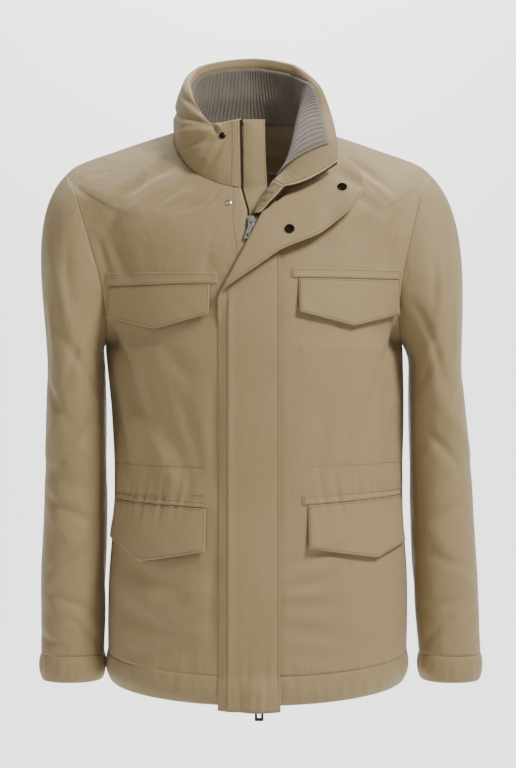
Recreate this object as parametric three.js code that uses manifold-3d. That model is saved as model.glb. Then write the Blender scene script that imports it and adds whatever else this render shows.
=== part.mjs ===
// A padded field jacket, filled out as if worn, with nobody in it.
// Millimetres. X runs to the viewer's right, Y away from the viewer, Z up.
// The origin is midway between the shoulder tips, where the wearer's shoulders carry the jacket.
// Right and left in the names are the wearer's, so the right front has negative X.

import * as THREE from "three";
import Module from "manifold-3d";

const wasm = await Module();
wasm.setup();

// Driving sizes
const CLOTH = 3; // padded cloth
const THIN = 1.6; // unpadded cloth: flaps, facings, tapes
const SEAM = 0.3; // gap between two pieces at a seam
const SAME = 1; // points of two pieces this close are one point of their seam
const OPPOSED = 0.15; // below this, two directions are too unlike to share a mitre
const LIE = 0.7; // gap under a piece that lies on a panel
const CURVE = 0.5523; // handle length that makes a cubic curve a quarter ellipse
const NECK_ROW = 13; // last row of the body tables: the neck seam
const TIP_ROW = 11; // shoulder tip
const ARMPIT_ROW = 6;
const BAND_ROW = 1; // seam of the hem band

// Body rows from the hem edge up to the neck seam. zc and yc place the row's middle,
// xe, ye and ze its end on the side seam, the armhole edge or the shoulder seam.
// turn is 1 where the row has turned a full quarter round at that end.
const FRONT = [
  { zc: -698, yc: -143, xe: 198, ye: 0, ze: -681, turn: 1 }, // hem edge
  { zc: -661, yc: -146, xe: 201, ye: 0, ze: -644, turn: 1 }, // band seam
  { zc: -560, yc: -148, xe: 201, ye: 0, ze: -551, turn: 1 }, // hip
  { zc: -440, yc: -138, xe: 194, ye: 2, ze: -438, turn: 1 }, // waist
  { zc: -330, yc: -141, xe: 197, ye: 3, ze: -331, turn: 1 }, // ribs
  { zc: -252, yc: -144, xe: 200, ye: 2, ze: -258, turn: 1 }, // under the armpit
  { zc: -232, yc: -144, xe: 200, ye: 0, ze: -236, turn: 0.96 }, // armpit
  { zc: -204, yc: -143, xe: 194, ye: -47, ze: -212, turn: 0.72 }, // armhole, front edge
  { zc: -168, yc: -141, xe: 197, ye: -70, ze: -160, turn: 0.55 },
  { zc: -134, yc: -137, xe: 212, ye: -65, ze: -98, turn: 0.5 },
  { zc: -105, yc: -130, xe: 229, ye: -40, ze: -40, turn: 0.6 },
  { zc: -82, yc: -121, xe: 240, ye: 5, ze: 0, turn: 0.85 }, // shoulder tip
  { zc: -57, yc: -110, xe: 170, ye: 7, ze: 29, turn: 0.95 }, // shoulder seam
  { zc: -35, yc: -97, xe: 100, ye: 6, ze: 52, turn: 1 }, // neck seam
];
const BACK = [
  { zc: -694, yc: 126, xe: 198, ye: 0, ze: -681, turn: 1 },
  { zc: -657, yc: 129, xe: 201, ye: 0, ze: -644, turn: 1 },
  { zc: -556, yc: 130, xe: 201, ye: 0, ze: -551, turn: 1 },
  { zc: -438, yc: 116, xe: 194, ye: 2, ze: -438, turn: 1 },
  { zc: -326, yc: 122, xe: 197, ye: 3, ze: -331, turn: 1 },
  { zc: -240, yc: 130, xe: 200, ye: 2, ze: -258, turn: 1 },
  { zc: -212, yc: 132, xe: 200, ye: 0, ze: -236, turn: 0.96 },
  { zc: -176, yc: 134, xe: 199, ye: 46, ze: -204, turn: 0.72 },
  { zc: -128, yc: 135, xe: 206, ye: 72, ze: -148, turn: 0.55 },
  { zc: -76, yc: 133, xe: 218, ye: 68, ze: -88, turn: 0.5 },
  { zc: -28, yc: 126, xe: 231, ye: 45, ze: -34, turn: 0.6 },
  { zc: 10, yc: 115, xe: 240, ye: 5, ze: 0, turn: 0.85 },
  { zc: 40, yc: 99, xe: 170, ye: 7, ze: 29, turn: 0.95 },
  { zc: 65, yc: 80, xe: 100, ye: 6, ze: 52, turn: 1 },
];
// How many steps each stretch between two body rows is cut into
const ROW_STEPS = [2, 2, 4, 3, 2, 1, 2, 2, 2, 3, 3, 2, 2];
const FRONT_COLUMNS = 10;
const BACK_COLUMNS = 8; // on each half of the back

// The jacket hangs a little askew: sideways shift of the body at each height
const SWAY = [
  { z: -700, x: 4 },
  { z: -440, x: 6 },
  { z: -330, x: 5 },
  { z: -236, x: 0 },
  { z: -120, x: -5 },
  { z: 0, x: -8 },
  { z: 60, x: -7 },
];

// Distance of each front's inner edge from the middle, by body row: shut up to the slider,
// open above it. The left front ends at the line where its top is turned out.
const RIGHT_EDGE = [
  { row: 0, x: -0.6 },
  { row: 9.8, x: -0.7 },
  { row: 10.6, x: -1.3 },
  { row: 11.4, x: -3.9 },
  { row: 12.3, x: -9 },
  { row: 13, x: -12.7 },
];
const LEFT_EDGE = [
  { row: 0, x: 6.6 },
  { row: 10.6, x: 6.6 },
  { row: 11.4, x: 9 },
  { row: 12.3, x: 24 },
  { row: 13, x: 38 },
];
// Above the slider the left front rolls forward and its zip edge lies open to the right
const TURN_FROM = 11.15; // body row where the roll starts
const TURN_ZIP = { x0: 0, z0: -75, x1: 36, z1: -46, rise: 20 }; // zip edge from there to the neck
const TURN_BULGE = { x: -7, z: 4 }; // how far the roll stands out past a straight line
const TURN_STEPS = 3;
const TURN_LAY = 4; // width that the roll takes where it lies flat
const TURN_SOON = 6; // how soon it stands up

// Soft folds: a line on the body from (x0, z0) to (x1, z1), its half-width and height, on the
// front or back. A negative height is a trough.
const BODY_FOLDS = [
  { half: "front", x0: -196, z0: -170, x1: -176, z1: -360, wide: 16, high: -4 },
  { half: "front", x0: 196, z0: -180, x1: 180, z1: -350, wide: 16, high: -4 },
  { half: "front", x0: -110, z0: 0, x1: -190, z1: -110, wide: 20, high: 2.5 },
  { half: "front", x0: 120, z0: -10, x1: 200, z1: -120, wide: 20, high: 2.5 },
  { half: "front", x0: -190, z0: -300, x1: -110, z1: -420, wide: 22, high: 3 },
  { half: "front", x0: 190, z0: -300, x1: 120, z1: -420, wide: 22, high: 3 },
  { half: "back", x0: -185, z0: -240, x1: -120, z1: -410, wide: 22, high: 4 },
  { half: "back", x0: 185, z0: -240, x1: 125, z1: -400, wide: 22, high: 4 },
  { half: "back", x0: -70, z0: -330, x1: 60, z1: -400, wide: 24, high: -3 },
  { half: "back", x0: 0, z0: 40, x1: 0, z1: -40, wide: 26, high: -2.5 },
];
// Gathers where the waist cord draws the cloth in, away from the middle
const GATHER_Z = -424;
const GATHER_REACH = 34; // how far above and below the cord they run
const GATHER_HEIGHT = 1.6;
const GATHER_FROM = 60; // nearest to the middle
const GATHER_FADE = 30;
const FADE = { side: 8, neck: 1.5 }; // how soon relief dies away at those seams
const BAND_PUFF = 4; // how far the turned hem band bulges

// Sleeve sections below the cap: distance down from the shoulders, middle, half-width across
// and half-depth front to back
const RIGHT_SLEEVE = [
  { down: 268, x: -239.5, y: 3, wide: 38, deep: 82 },
  { down: 330, x: -239.5, y: 5, wide: 40.5, deep: 76 },
  { down: 400, x: -240.5, y: 9, wide: 41.5, deep: 70 },
  { down: 470, x: -241.5, y: 9, wide: 42.5, deep: 65 },
  { down: 540, x: -243.5, y: 4, wide: 43.5, deep: 60 },
  { down: 600, x: -243.5, y: -1, wide: 43, deep: 55 },
  { down: 649, x: -244, y: -4, wide: 42, deep: 50 },
];
const LEFT_SLEEVE = [
  { down: 268, x: 244, y: 3, wide: 34.5, deep: 84 },
  { down: 330, x: 247, y: 5, wide: 38.5, deep: 78 },
  { down: 400, x: 251.5, y: 9, wide: 41.5, deep: 70 },
  { down: 470, x: 254.5, y: 9, wide: 42.5, deep: 65 },
  { down: 540, x: 257.5, y: 4, wide: 43.5, deep: 60 },
  { down: 600, x: 260.5, y: -1, wide: 42.5, deep: 55 },
  { down: 649, x: 263.5, y: -4, wide: 41, deep: 50 },
];
const CAP_STEPS = 6;
const SECTION_STEPS = 9;
const CUFF_DROP = 35; // height of the cuff
const CUFF_PUFF = 3.5;
const CUFF_TUCK = 1.5; // how much narrower its foot is
const CUFF_SHARES = [1, 0.72, 0.3, 0]; // of its height, from the seam down
const PUFF_POWER = 0.7; // below 1, a puffed band is fuller than a half sine
const RING_POINTS = 24; // round a sleeve and its cuff
const SLEEVE_FULL = 0.9; // below 1, a sleeve's section is fuller than an ellipse
const CAP_LEAVE = { out: 0.75, round: 0.35, down: 0.62, under: 0.3 }; // how the cap leaves the armhole
const CAP_PULL = 0.9; // strength of its curve at both ends
const CAP_EVEN = 1.15; // above 1, its rows crowd near the armhole
const CAP_FADE = 3;
const SLEEVE_FADE = 40; // folds die away over this height above the cuff
// Large sleeve creases: where they start and end down the sleeve, round it (degrees from
// the outside towards the front), half-width and height
const SLEEVE_FOLDS = [
  { z0: -120, a0: 60, z1: -260, a1: 110, wide: 16, high: 4 },
  { z0: -300, a0: 100, z1: -380, a1: 30, wide: 15, high: 3.5 },
  { z0: -400, a0: 20, z1: -430, a1: 120, wide: 14, high: -3.5 },
  { z0: -480, a0: 120, z1: -560, a1: 40, wide: 15, high: 3 },
  { z0: -590, a0: 30, z1: -620, a1: 110, wide: 13, high: -2.5 },
  { z0: -150, a0: 300, z1: -280, a1: 250, wide: 16, high: 4 },
  { z0: -390, a0: 320, z1: -440, a1: 240, wide: 14, high: -4 },
  { z0: -500, a0: 240, z1: -580, a1: 310, wide: 15, high: 3 },
];

// Collar stations round the neck: 0 right front end, 1 right shoulder, 2 middle back,
// 3 left shoulder, 4 left front end. The crest (c) and the top edge (t) of its outer face,
// and the wall's thickness at each.
const COLLAR = [
  { at: 0, cx: -21, cy: -93, cz: 10, tx: -22, ty: -85, tz: 56, thick: 4 },
  { at: 0.35, cx: -58, cy: -86, cz: 14, tx: -56, ty: -78, tz: 53, thick: 5 },
  { at: 0.46, cx: -74, cy: -78, cz: 24, tx: -68, ty: -68, tz: 66, thick: 7 },
  { at: 0.7, cx: -97, cy: -52, cz: 48, tx: -85, ty: -44, tz: 97, thick: 10 },
  { at: 1, cx: -107, cy: 0, cz: 84, tx: -92, ty: -2, tz: 125, thick: 13 },
  { at: 1.45, cx: -84, cy: 52, cz: 108, tx: -75, ty: 44, tz: 150, thick: 14 },
  { at: 2, cx: -7, cy: 81, cz: 118, tx: -6, ty: 67, tz: 164, thick: 14 },
  { at: 2.55, cx: 62, cy: 56, cz: 108, tx: 55, ty: 44, tz: 152, thick: 13 },
  { at: 2.85, cx: 78, cy: 24, cz: 100, tx: 75, ty: 16, tz: 134, thick: 11 },
  { at: 3.15, cx: 74, cy: -6, cz: 88, tx: 92, ty: -14, tz: 106, thick: 8 },
  { at: 3.45, cx: 66, cy: -36, cz: 60, tx: 102, ty: -40, tz: 70, thick: 6 },
  { at: 3.75, cx: 64, cy: -88, cz: 12, tx: 108, ty: -74, tz: 30, thick: 5 },
  { at: 4, cx: 71, cy: -110, cz: -23, tx: 109, ty: -92, tz: 2, thick: 4 },
];
const COLLAR_ROWS = 5;
const KNIT_SHARES = [0.06, 0.2, 0.4, 0.6, 0.8]; // up the collar; its top stays bare
const KNIT_FROM = 0.1; // stations where the knit starts and ends
const KNIT_TO = 3.7;
const KNIT_RIBS = 80;
const KNIT_SPAN = 4; // columns of its face to one of its plain back
const KNIT_THICK = 2;
const KNIT_LIE = 2.1; // gap behind it
const RIB_HEIGHT = 0.9;

// Storm flap, sewn to the left front. It is laid out flat, then its top is folded back
const FLAP_SEAM_X = 33;
const FLAP_WIDTH = 78;
const FLAP_EDGE = 13; // strip along the free edge that slopes to the body
const FLAP_FOOT = -704;
const FLAP_TOP = 56; // as if shut
const HANG_FROM = -684; // below this, flap and slider hang straight down
const FLAP_THICK = 2;
const FOLD_FOOT = { x: -41, z: -183 }; // where the fold line leaves the flap's free edge
const FOLD_RISE = { x: 0.439, z: 0.898 }; // direction of the fold line
const FOLD_RADIUS = [4.5, 2.6]; // at its foot and its top
const FOLD_LENGTH = 100; // over which it tightens
const FOLD_TURN = Math.PI - 0.14; // the turned part stays a little open
const FLAP_LIFT = 2.9; // over the zip
const FLAP_SLOPE = 1.2;
const FLAP_SAG = { most: 16, from: 80, over: 55, to: 225, fade: 50, wide: 34 }; // of the turned edge
const FLAP_TRIM = { z: -88, slope: 0.85 }; // line above which the turned part is cut away
const FLAP_ROWS = [
  { from: -704, to: -660, steps: 2 },
  { from: -660, to: -200, steps: 9 },
  { from: -200, to: -60, steps: 12 },
  { from: -60, to: 56, steps: 7 },
];
const FLAP_SPANS = [4, 4, 3]; // columns before the fold, in it and past it
const FLAP_SPAN = 3; // least width of each of those three
const FLAP_BUMP = { high: 7, from: -655, over: 28, wide: 22 }; // over the lower slider
const FLAP_CORNER = { drop: 9, tall: 30, wide: 16 }; // rounding of its free top corner
const FOLD_NEAR = 14; // before the fold, where the free edge stops sloping

// Pockets: the flap's corners and point on the front, and the stitched band above it
const POCKETS = [
  { name: "chest_right", left: -191, right: -56, leftTop: -162, rightTop: -162,
    leftFoot: -200, rightFoot: -200, pointX: -125, point: -218,
    bandLeft: -195, bandRight: -47, bandLeftTop: -144, bandRightTop: -146 },
  { name: "chest_left", left: 57, right: 193, leftTop: -154, rightTop: -153,
    leftFoot: -197, rightFoot: -195, pointX: 126, point: -214,
    bandLeft: 47, bandRight: 195, bandLeftTop: -140, bandRightTop: -139 },
  { name: "hip_right", left: -186, right: -61, leftTop: -441, rightTop: -448,
    leftFoot: -492, rightFoot: -503, pointX: -144, point: -519,
    bandLeft: -185, bandRight: -58, bandLeftTop: -431, bandRightTop: -438 },
  { name: "hip_left", left: 69, right: 195, leftTop: -444, rightTop: -436,
    leftFoot: -499, rightFoot: -496, pointX: 157, point: -514,
    bandLeft: 61, bandRight: 196, bandLeftTop: -431, bandRightTop: -425 },
];
const POCKET_SHARES = [0, 0.3, 0.65, 1]; // down the flap
const POCKET_STAND = 1.6; // how far its foot stands off
const POCKET_CLEAR = 1.5; // least distance between two columns of points
const BAND_THICK = 1;

// Zip: two tapes on the fronts' edges, a slider at the top and one at the hem
const TAPE_WIDE = 3;
const TAPE_OPEN = 4.5; // width where the zip is open
const TAPE_THICK = 1.6;
const TAPE_PINCH = 0.6; // width and thickness where the left tape turns over
const TAPE_TURNS = 3; // rows in which it does
const TAPE_AWAY = 1.5; // how far it keeps from the cloth there
const SLIDER = { x: -3.4, z: -81, wide: 8.6, tall: 14, plate: 1.5, rest: 2 };
const BRIDGE = { wide: 2.4, tall: 8, high: 3.2, tunnelTall: 3.4, tunnelHigh: 2 };
const PULL_TOP = { wide: 7, long: 26, thick: 1.3, window: 5.6, lean: 0.07, foot: 5.4, askew: 6.3 };
const HOLE_TOP = { half: 1.1, from: -22.5, to: -19 }; // hole through its foot
const SLIDER_FOOT = { x: 6.8, z: -694.5, rest: -0.8 };
const PULL_FOOT = { wide: 11, long: 21, thick: 1.3, window: 5.6, foot: 11, askew: 0 };
const HOLE_FOOT = { half: 2.4, from: -17, to: -10.5 };
const TUNNEL_FLOOR = 0.5; // from the plate up to the bridge's tunnel
const CROSSBAR = 1.4;
const PULL_CORNER = 1.6; // radius of its foot's corners
const PULL_CHAMFER = 0.5;
const PULL_NECK = 1; // from its window down to where it starts to narrow
const PULL_PLAY = 0.6; // between its window and the bridge

// Wind flap behind the zip, sewn to the right front
const WIND_LEFT = -14;
const WIND_RIGHT = { foot: 26, top: 14.5 };
const WIND_FOOT = -640;
const WIND_TOP = 57;
const WIND_BACK = 1.4; // behind the cloth of the fronts
const WIND_NECK = 5; // further behind where the neck slopes back
const WIND_NECK_Z = -105;
const WIND_NECK_TALL = 40;
const WIND_BOW = 0.0024; // how its depth grows with the square of x
const WIND_ROWS = 18;

// Snaps: two sockets on the turned storm flap, two studs on the right side
const SOCKETS = [{ name: "snap_socket_upper", x: 101, z: -39 }, { name: "snap_socket_lower", x: 35, z: -91 }];
const SOCKET_PROFILE = [[0, 0], [6.4, 0], [6.4, 0.8], [5.4, 1.7], [3.6, 1.7], [3.1, 0.7], [0, 0.7]];
const STUD_PROFILE = [[0, 0], [4.4, 0], [4.2, 0.9], [2.8, 1.6], [2.3, 2.8], [0, 3.1]];
const SNAP_SIDES = 14;
const COLLAR_STUD = { at: 0.2, share: 0.78 };
const CHEST_STUD = { x: -32.6, z: -55 };

// Lining of the back neck, as far as it shows
const LINING_ROWS = [9.4, 10, 10.6, 11.2, 11.8, 12.4, 12.8];
const LINING_REACH = 0.5; // share of the back's half-width
const LINING_GAP = 2;

// Vector help
const add = (a, b, k = 1) => [a[0] + k * b[0], a[1] + k * b[1], a[2] + k * b[2]];
const sub = (a, b) => add(a, b, -1);
const dot = (a, b) => a[0] * b[0] + a[1] * b[1] + a[2] * b[2];
const cross = (a, b) => [
  a[1] * b[2] - a[2] * b[1],
  a[2] * b[0] - a[0] * b[2],
  a[0] * b[1] - a[1] * b[0],
];
const length = (a) => Math.hypot(...a);
const unit = (a) => add([0, 0, 0], a, 1 / (length(a) || 1));
const mix = (a, b, k) => a + (b - a) * k;
const clamp = (x, low, high) => Math.min(high, Math.max(low, x));
const smooth = (x) => {
  const k = clamp(x, 0, 1);
  return k * k * (3 - 2 * k);
};
const range = (n) => Array.from({ length: n }, (_, i) => i);

// A table's column at a place along it, on a smooth curve through its rows
function column(table, key, name, place) {
  const last = table.length - 1;
  const at = (i) => (key ? table[i][key] : i);
  let i = 0;
  while (i < last - 1 && place > at(i + 1)) i += 1;
  const slope = (k) => {
    const a = Math.max(k - 1, 0);
    const b = Math.min(k + 1, last);
    return (table[b][name] - table[a][name]) / (at(b) - at(a));
  };
  const step = at(i + 1) - at(i);
  const s = (place - at(i)) / step;
  const from = table[i][name];
  const to = table[i + 1][name];
  if (s < 0) return from + slope(i) * s * step;
  if (s > 1) return to + slope(i + 1) * (s - 1) * step;
  const s2 = s * s;
  const s3 = s2 * s;
  return (2 * s3 - 3 * s2 + 1) * from + (s3 - 2 * s2 + s) * step * slope(i)
    + (3 * s2 - 2 * s3) * to + (s3 - s2) * step * slope(i + 1);
}

const sway = (z) => column(SWAY, "z", "x", clamp(z, -700, 60));

// Body form before folds: one cubic curve per row, from the middle (u = 0) to its end (u = 1)
function bodyForm(table, side, u, row) {
  const get = (name) => column(table, null, name, row);
  // the shoulder seam belongs to front and back alike
  const shared = row > TIP_ROW ? FRONT : table;
  const middle = [0, get("yc"), get("zc")];
  const end = ["xe", "ye", "ze"].map((name) => column(shared, null, name, row));
  const turn = get("turn");
  const near = [CURVE * end[0], middle[1], middle[2]];
  const far = [
    end[0] - CURVE * (1 - turn) * end[0],
    end[1] + CURVE * turn * (middle[1] - end[1]),
    end[2] + CURVE * turn * (middle[2] - end[2]),
  ];
  const k = 1 - u;
  const point = [0, 1, 2].map((i) => k * k * k * middle[i] + 3 * k * k * u * near[i]
    + 3 * k * u * u * far[i] + u * u * u * end[i]);
  return [side * point[0] + sway(point[2]), point[1], point[2]];
}

// Height of a soft fold at a place given on its own two coordinates
function foldHeight(x, z, fold) {
  const along = [fold.x1 - fold.x0, fold.z1 - fold.z0];
  const size = along[0] ** 2 + along[1] ** 2;
  const s = clamp(((x - fold.x0) * along[0] + (z - fold.z0) * along[1]) / size, 0, 1);
  const away = Math.hypot(x - fold.x0 - s * along[0], z - fold.z0 - s * along[1]);
  return fold.high * Math.exp(-((away / fold.wide) ** 2)) * Math.sin(Math.PI * mix(0.12, 0.88, s));
}

function bodyRelief(half, point, u, row) {
  let height = 0;
  for (const fold of BODY_FOLDS) {
    if (fold.half === half) height += foldHeight(point[0], point[2], fold);
  }
  // waist gathers: one ridge and one trough to every two columns
  const columns = half === "front" ? FRONT_COLUMNS : BACK_COLUMNS;
  const reach = Math.exp(-(((point[2] - GATHER_Z) / GATHER_REACH) ** 2) * 2);
  const aside = half === "front" ? smooth((Math.abs(point[0]) - GATHER_FROM) / GATHER_FADE) : 1;
  height += GATHER_HEIGHT * Math.cos(Math.PI * u * columns) * reach * aside;
  // all die away at the side seam, and the neck seam
  return height * smooth((1 - u) * FADE.side) * smooth((NECK_ROW - row) * FADE.neck);
}

// The turned hem band bulges below its seam
const bandPuff = (row) => BAND_PUFF * Math.sin(Math.PI * clamp(row, 0, 1)) ** PUFF_POWER;

function bodyPoint(half, side, u, row) {
  const table = half === "front" ? FRONT : BACK;
  const here = bodyForm(table, side, u, row);
  const across = sub(bodyForm(table, side, u + 0.02, row), here);
  const up = sub(bodyForm(table, side, u, row + 0.05), here);
  const facing = half === "front" ? 1 : -1;
  const out = unit(cross(across, up).map((c) => c * side * facing));
  const level = unit([out[0], out[1], 0]);
  return add(add(here, out, bodyRelief(half, here, u, row)), level, bandPuff(row));
}

// Point of the front at a given x and z, moved out by lift; found by Newton's steps
function onFront(x, z, lift = 0) {
  const side = x - sway(z) >= 0 ? 1 : -1;
  let u = clamp((Math.abs(x - sway(z)) / 200) * 0.65, 0.01, 0.95);
  let row = clamp(13 * smooth((z + 720) / 900), 0.2, 12.8);
  const at = (a, b) => bodyPoint("front", side, a, b);
  for (let i = 0; i < 16; i += 1) {
    const p = at(u, row);
    const pu = sub(at(u + 0.002, row), p);
    const pr = sub(at(u, row + 0.01), p);
    const det = pu[0] * pr[2] - pu[2] * pr[0];
    const dx = x - p[0];
    const dz = z - p[2];
    u = clamp(u + 0.002 * clamp((dx * pr[2] - dz * pr[0]) / det, -120, 120), -0.06, 1);
    row = clamp(row + 0.01 * clamp((pu[0] * dz - pu[2] * dx) / det, -150, 150), -0.2, 13.2);
  }
  const p = at(u, row);
  const right = sub(at(u + 0.02, row), p);
  const up = sub(at(u, row + 0.1), p);
  const out = unit(cross(right, up).map((c) => c * side));
  return { point: add(p, out, lift), out };
}

// A grid of points with the outward direction at each
function makeGrid(points, away) {
  const rows = points.length;
  const cols = points[0].length;
  const out = points.map((line, i) => line.map((p, j) => {
    const a = sub(points[Math.min(i + 1, rows - 1)][j], points[Math.max(i - 1, 0)][j]);
    const b = sub(line[Math.min(j + 1, cols - 1)], line[Math.max(j - 1, 0)]);
    return unit(cross(a, b));
  }));
  let sum = 0;
  points.forEach((line, i) => line.forEach((p, j) => {
    sum += dot(out[i][j], away(p, i, j));
  }));
  const flip = sum < 0 ? -1 : 1;
  return { points, out: out.map((line) => line.map((n) => n.map((c) => c * flip))) };
}

// A ring grid closes on itself, so its directions are worked out round the ring
function makeRing(points, away) {
  const cols = points[0].length;
  const padded = points.map((line) => [line[cols - 1], ...line, line[0]]);
  const grid = makeGrid(padded, (p, i) => away(p, i));
  return { points, out: grid.out.map((line) => line.slice(1, cols + 1)), ring: true };
}

// Pieces that meet along a seam share one direction there, so their edges are mitred, save
// at the armpit, where body and sleeve turn back on each other
function shareSeams(grids) {
  const spots = [];
  grids.forEach((grid) => grid.points.forEach((line, i) => line.forEach((p, j) => {
    const rim = i === 0 || i === grid.points.length - 1
      || (!grid.ring && (j === 0 || j === line.length - 1));
    if (!rim) return;
    const near = spots.find((spot) => length(sub(spot[0].p, p)) < SAME);
    if (near) near.push({ grid, i, j, p });
    else spots.push([{ grid, i, j, p }]);
  })));
  for (const spot of spots) {
    const outs = spot.map(({ grid, i, j }) => grid.out[i][j]);
    const place = spot.reduce((sum, { p }) => add(sum, p, 1 / spot.length), [0, 0, 0]);
    spot.forEach(({ grid, i, j }, k) => {
      const alike = outs.filter((out) => dot(out, outs[k]) > OPPOSED);
      grid.out[i][j] = unit(alike.reduce((sum, out) => add(sum, out), [0, 0, 0]));
      grid.points[i][j] = place;
    });
  }
  grids.forEach((grid) => {
    const rows = grid.points.length;
    const moved = grid.points.map((line, i) => line.map((p, j) => {
      let q = p;
      const pull = (r) => {
        q = add(q, unit(sub(r, p)), SEAM / 2 + 0.02);
      };
      if (i === 0) pull(grid.points[1][j]);
      if (i === rows - 1) pull(grid.points[rows - 2][j]);
      if (!grid.ring && j === 0) pull(line[1]);
      if (!grid.ring && j === line.length - 1) pull(line[line.length - 2]);
      return q;
    }));
    grid.points = moved;
  });
}

// Closed solid between an outer and an inner grid of points
function shell(outer, inner, ring = false) {
  const rows = outer.length;
  const cols = outer[0].length;
  const positions = [...outer.flat(), ...inner.flat()].flat();
  const inside = rows * cols;
  const faces = [];
  const quad = (a, b, c, d) => faces.push(a, b, c, a, c, d);
  const wide = ring ? cols : cols - 1;
  for (let i = 0; i < rows - 1; i += 1) {
    for (let j = 0; j < wide; j += 1) {
      const k = (j + 1) % cols;
      const [a, b, c, d] = [i * cols + j, i * cols + k, (i + 1) * cols + k, (i + 1) * cols + j];
      quad(a, b, c, d);
      quad(inside + a, inside + d, inside + c, inside + b);
    }
  }
  for (let j = 0; j < wide; j += 1) {
    const k = (j + 1) % cols;
    const top = (rows - 1) * cols;
    quad(j, inside + j, inside + k, k);
    quad(top + j, top + k, inside + top + k, inside + top + j);
  }
  if (!ring) {
    for (let i = 0; i < rows - 1; i += 1) {
      const a = i * cols;
      const b = (i + 1) * cols;
      quad(a, b, inside + b, inside + a);
      quad(a + cols - 1, inside + a + cols - 1, inside + b + cols - 1, b + cols - 1);
    }
  }
  return solid(positions, faces);
}

// Geometry with its faces turned outwards
function solid(positions, faces) {
  let volume = 0;
  const at = (i) => positions.slice(3 * i, 3 * i + 3);
  for (let i = 0; i < faces.length; i += 3) {
    volume += dot(at(faces[i]), cross(at(faces[i + 1]), at(faces[i + 2])));
  }
  const turned = [...faces];
  if (volume < 0) {
    for (let i = 0; i < turned.length; i += 3) {
      [turned[i + 1], turned[i + 2]] = [turned[i + 2], turned[i + 1]];
    }
  }
  const geometry = new THREE.BufferGeometry();
  geometry.setAttribute("position", new THREE.Float32BufferAttribute(positions, 3));
  geometry.setIndex(turned);
  geometry.computeVertexNormals();
  return geometry;
}

// A cloth wall: the grid's points outside, the same points moved in by its thickness inside
function wall(grid, thickness) {
  const deep = (i, j) => (typeof thickness === "function" ? thickness(i, j) : thickness);
  const inner = grid.points.map((line, i) => line.map((p, j) => add(p, grid.out[i][j], -deep(i, j))));
  return shell(grid.points, inner, grid.ring);
}

// Finishes
const finish = (color, roughness, metalness = 0) => ({ color, roughness, metalness });
const KHAKI = finish(0xa8997a, 0.85);
const KNIT = finish(0x6d655a, 0.95);
const LINING = finish(0x4a4036, 0.8);
const TAPE = finish(0x8b7d62, 0.9);
const STEEL = finish(0xb8b6b0, 0.3, 0.9);
const DARK_METAL = finish(0x2c2620, 0.35, 0.8);
const BLACK = finish(0x1c1a18, 0.5, 0.2);

const jacket = new THREE.Group();
function piece(name, geometry, look, parent = jacket) {
  const mesh = new THREE.Mesh(geometry, new THREE.MeshStandardMaterial(look));
  mesh.name = name;
  parent.add(mesh);
  return mesh;
}

// Rows of the body, evenly cut between the rows of its tables
const bodyRows = ROW_STEPS.flatMap((steps, i) => range(steps).map((k) => i + k / steps));
bodyRows.push(NECK_ROW);
const shellRows = bodyRows.filter((row) => row >= BAND_ROW);
const bandRows = [0, 0.25, 0.6, 1];

// Share of a front's row at which it starts, so that it starts at a given distance from the middle
function startOf(edge, row) {
  const reach = column(FRONT, null, "xe", row);
  const x = column(edge, "row", "x", row);
  let u = 0;
  for (let i = 0; i < 12; i += 1) {
    const at = (k) => bodyForm(FRONT, 1, k, row)[0] - sway(bodyForm(FRONT, 1, k, row)[2]);
    u += (x - at(u)) / ((at(u + 0.01) - at(u)) / 0.01 || reach);
  }
  return u;
}
// Points of a front at one row, from its inner edge out
function frontLine(side, edge, row) {
  const start = side < 0 ? -startOf(edge, row) : startOf(edge, row);
  return range(FRONT_COLUMNS + 1).map((j) => bodyPoint("front", side, mix(start, 1, j / FRONT_COLUMNS), row));
}
// The left front has a few more columns at its zip edge, which roll forward above the slider
function leftLine(row) {
  const line = frontLine(1, LEFT_EDGE, row);
  const turned = clamp((row - TURN_FROM) / (NECK_ROW - TURN_FROM), 0, 1);
  const base = line[0];
  const next = line[1];
  const flat = add(base, unit(sub(next, base)), TURN_LAY);
  const zipX = mix(TURN_ZIP.x0, TURN_ZIP.x1, turned);
  const zipZ = mix(TURN_ZIP.z0, TURN_ZIP.z1, turned);
  const zip = turned > 0 ? onFront(zipX, zipZ, TURN_ZIP.rise * turned).point : base;
  const roll = range(TURN_STEPS).map((j) => {
    const k = j / TURN_STEPS;
    const bulge = 4 * k * (1 - k) * turned;
    const open = [0, 1, 2].map((i) => mix(zip[i], base[i], k));
    const rolled = add(open, [TURN_BULGE.x, 0, TURN_BULGE.z], bulge);
    const shut = [0, 1, 2].map((i) => mix(base[i], flat[i], k));
    return [0, 1, 2].map((i) => mix(shut[i], rolled[i], smooth(turned * TURN_SOON)));
  });
  const root = [0, 1, 2].map((i) => mix(flat[i], base[i], smooth(turned * TURN_SOON)));
  return [...roll, root, ...line.slice(1)];
}
const backLine = (row) => [
  ...range(BACK_COLUMNS).map((j) => bodyPoint("back", -1, 1 - j / BACK_COLUMNS, row)),
  ...range(BACK_COLUMNS + 1).map((j) => bodyPoint("back", 1, j / BACK_COLUMNS, row)),
];
const fromAxis = (p) => [p[0], p[1] * 1.3, 0.001];

const rightLine = (row) => frontLine(-1, RIGHT_EDGE, row);
const frontRight = makeGrid(shellRows.map(rightLine), fromAxis);
const frontLeft = makeGrid(shellRows.map(leftLine), fromAxis);
const back = makeGrid(shellRows.map(backLine), fromAxis);
const bandFrontRight = makeGrid(bandRows.map(rightLine), fromAxis);
const bandFrontLeft = makeGrid(bandRows.map(leftLine), fromAxis);
const bandBack = makeGrid(bandRows.map(backLine), fromAxis);

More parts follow.
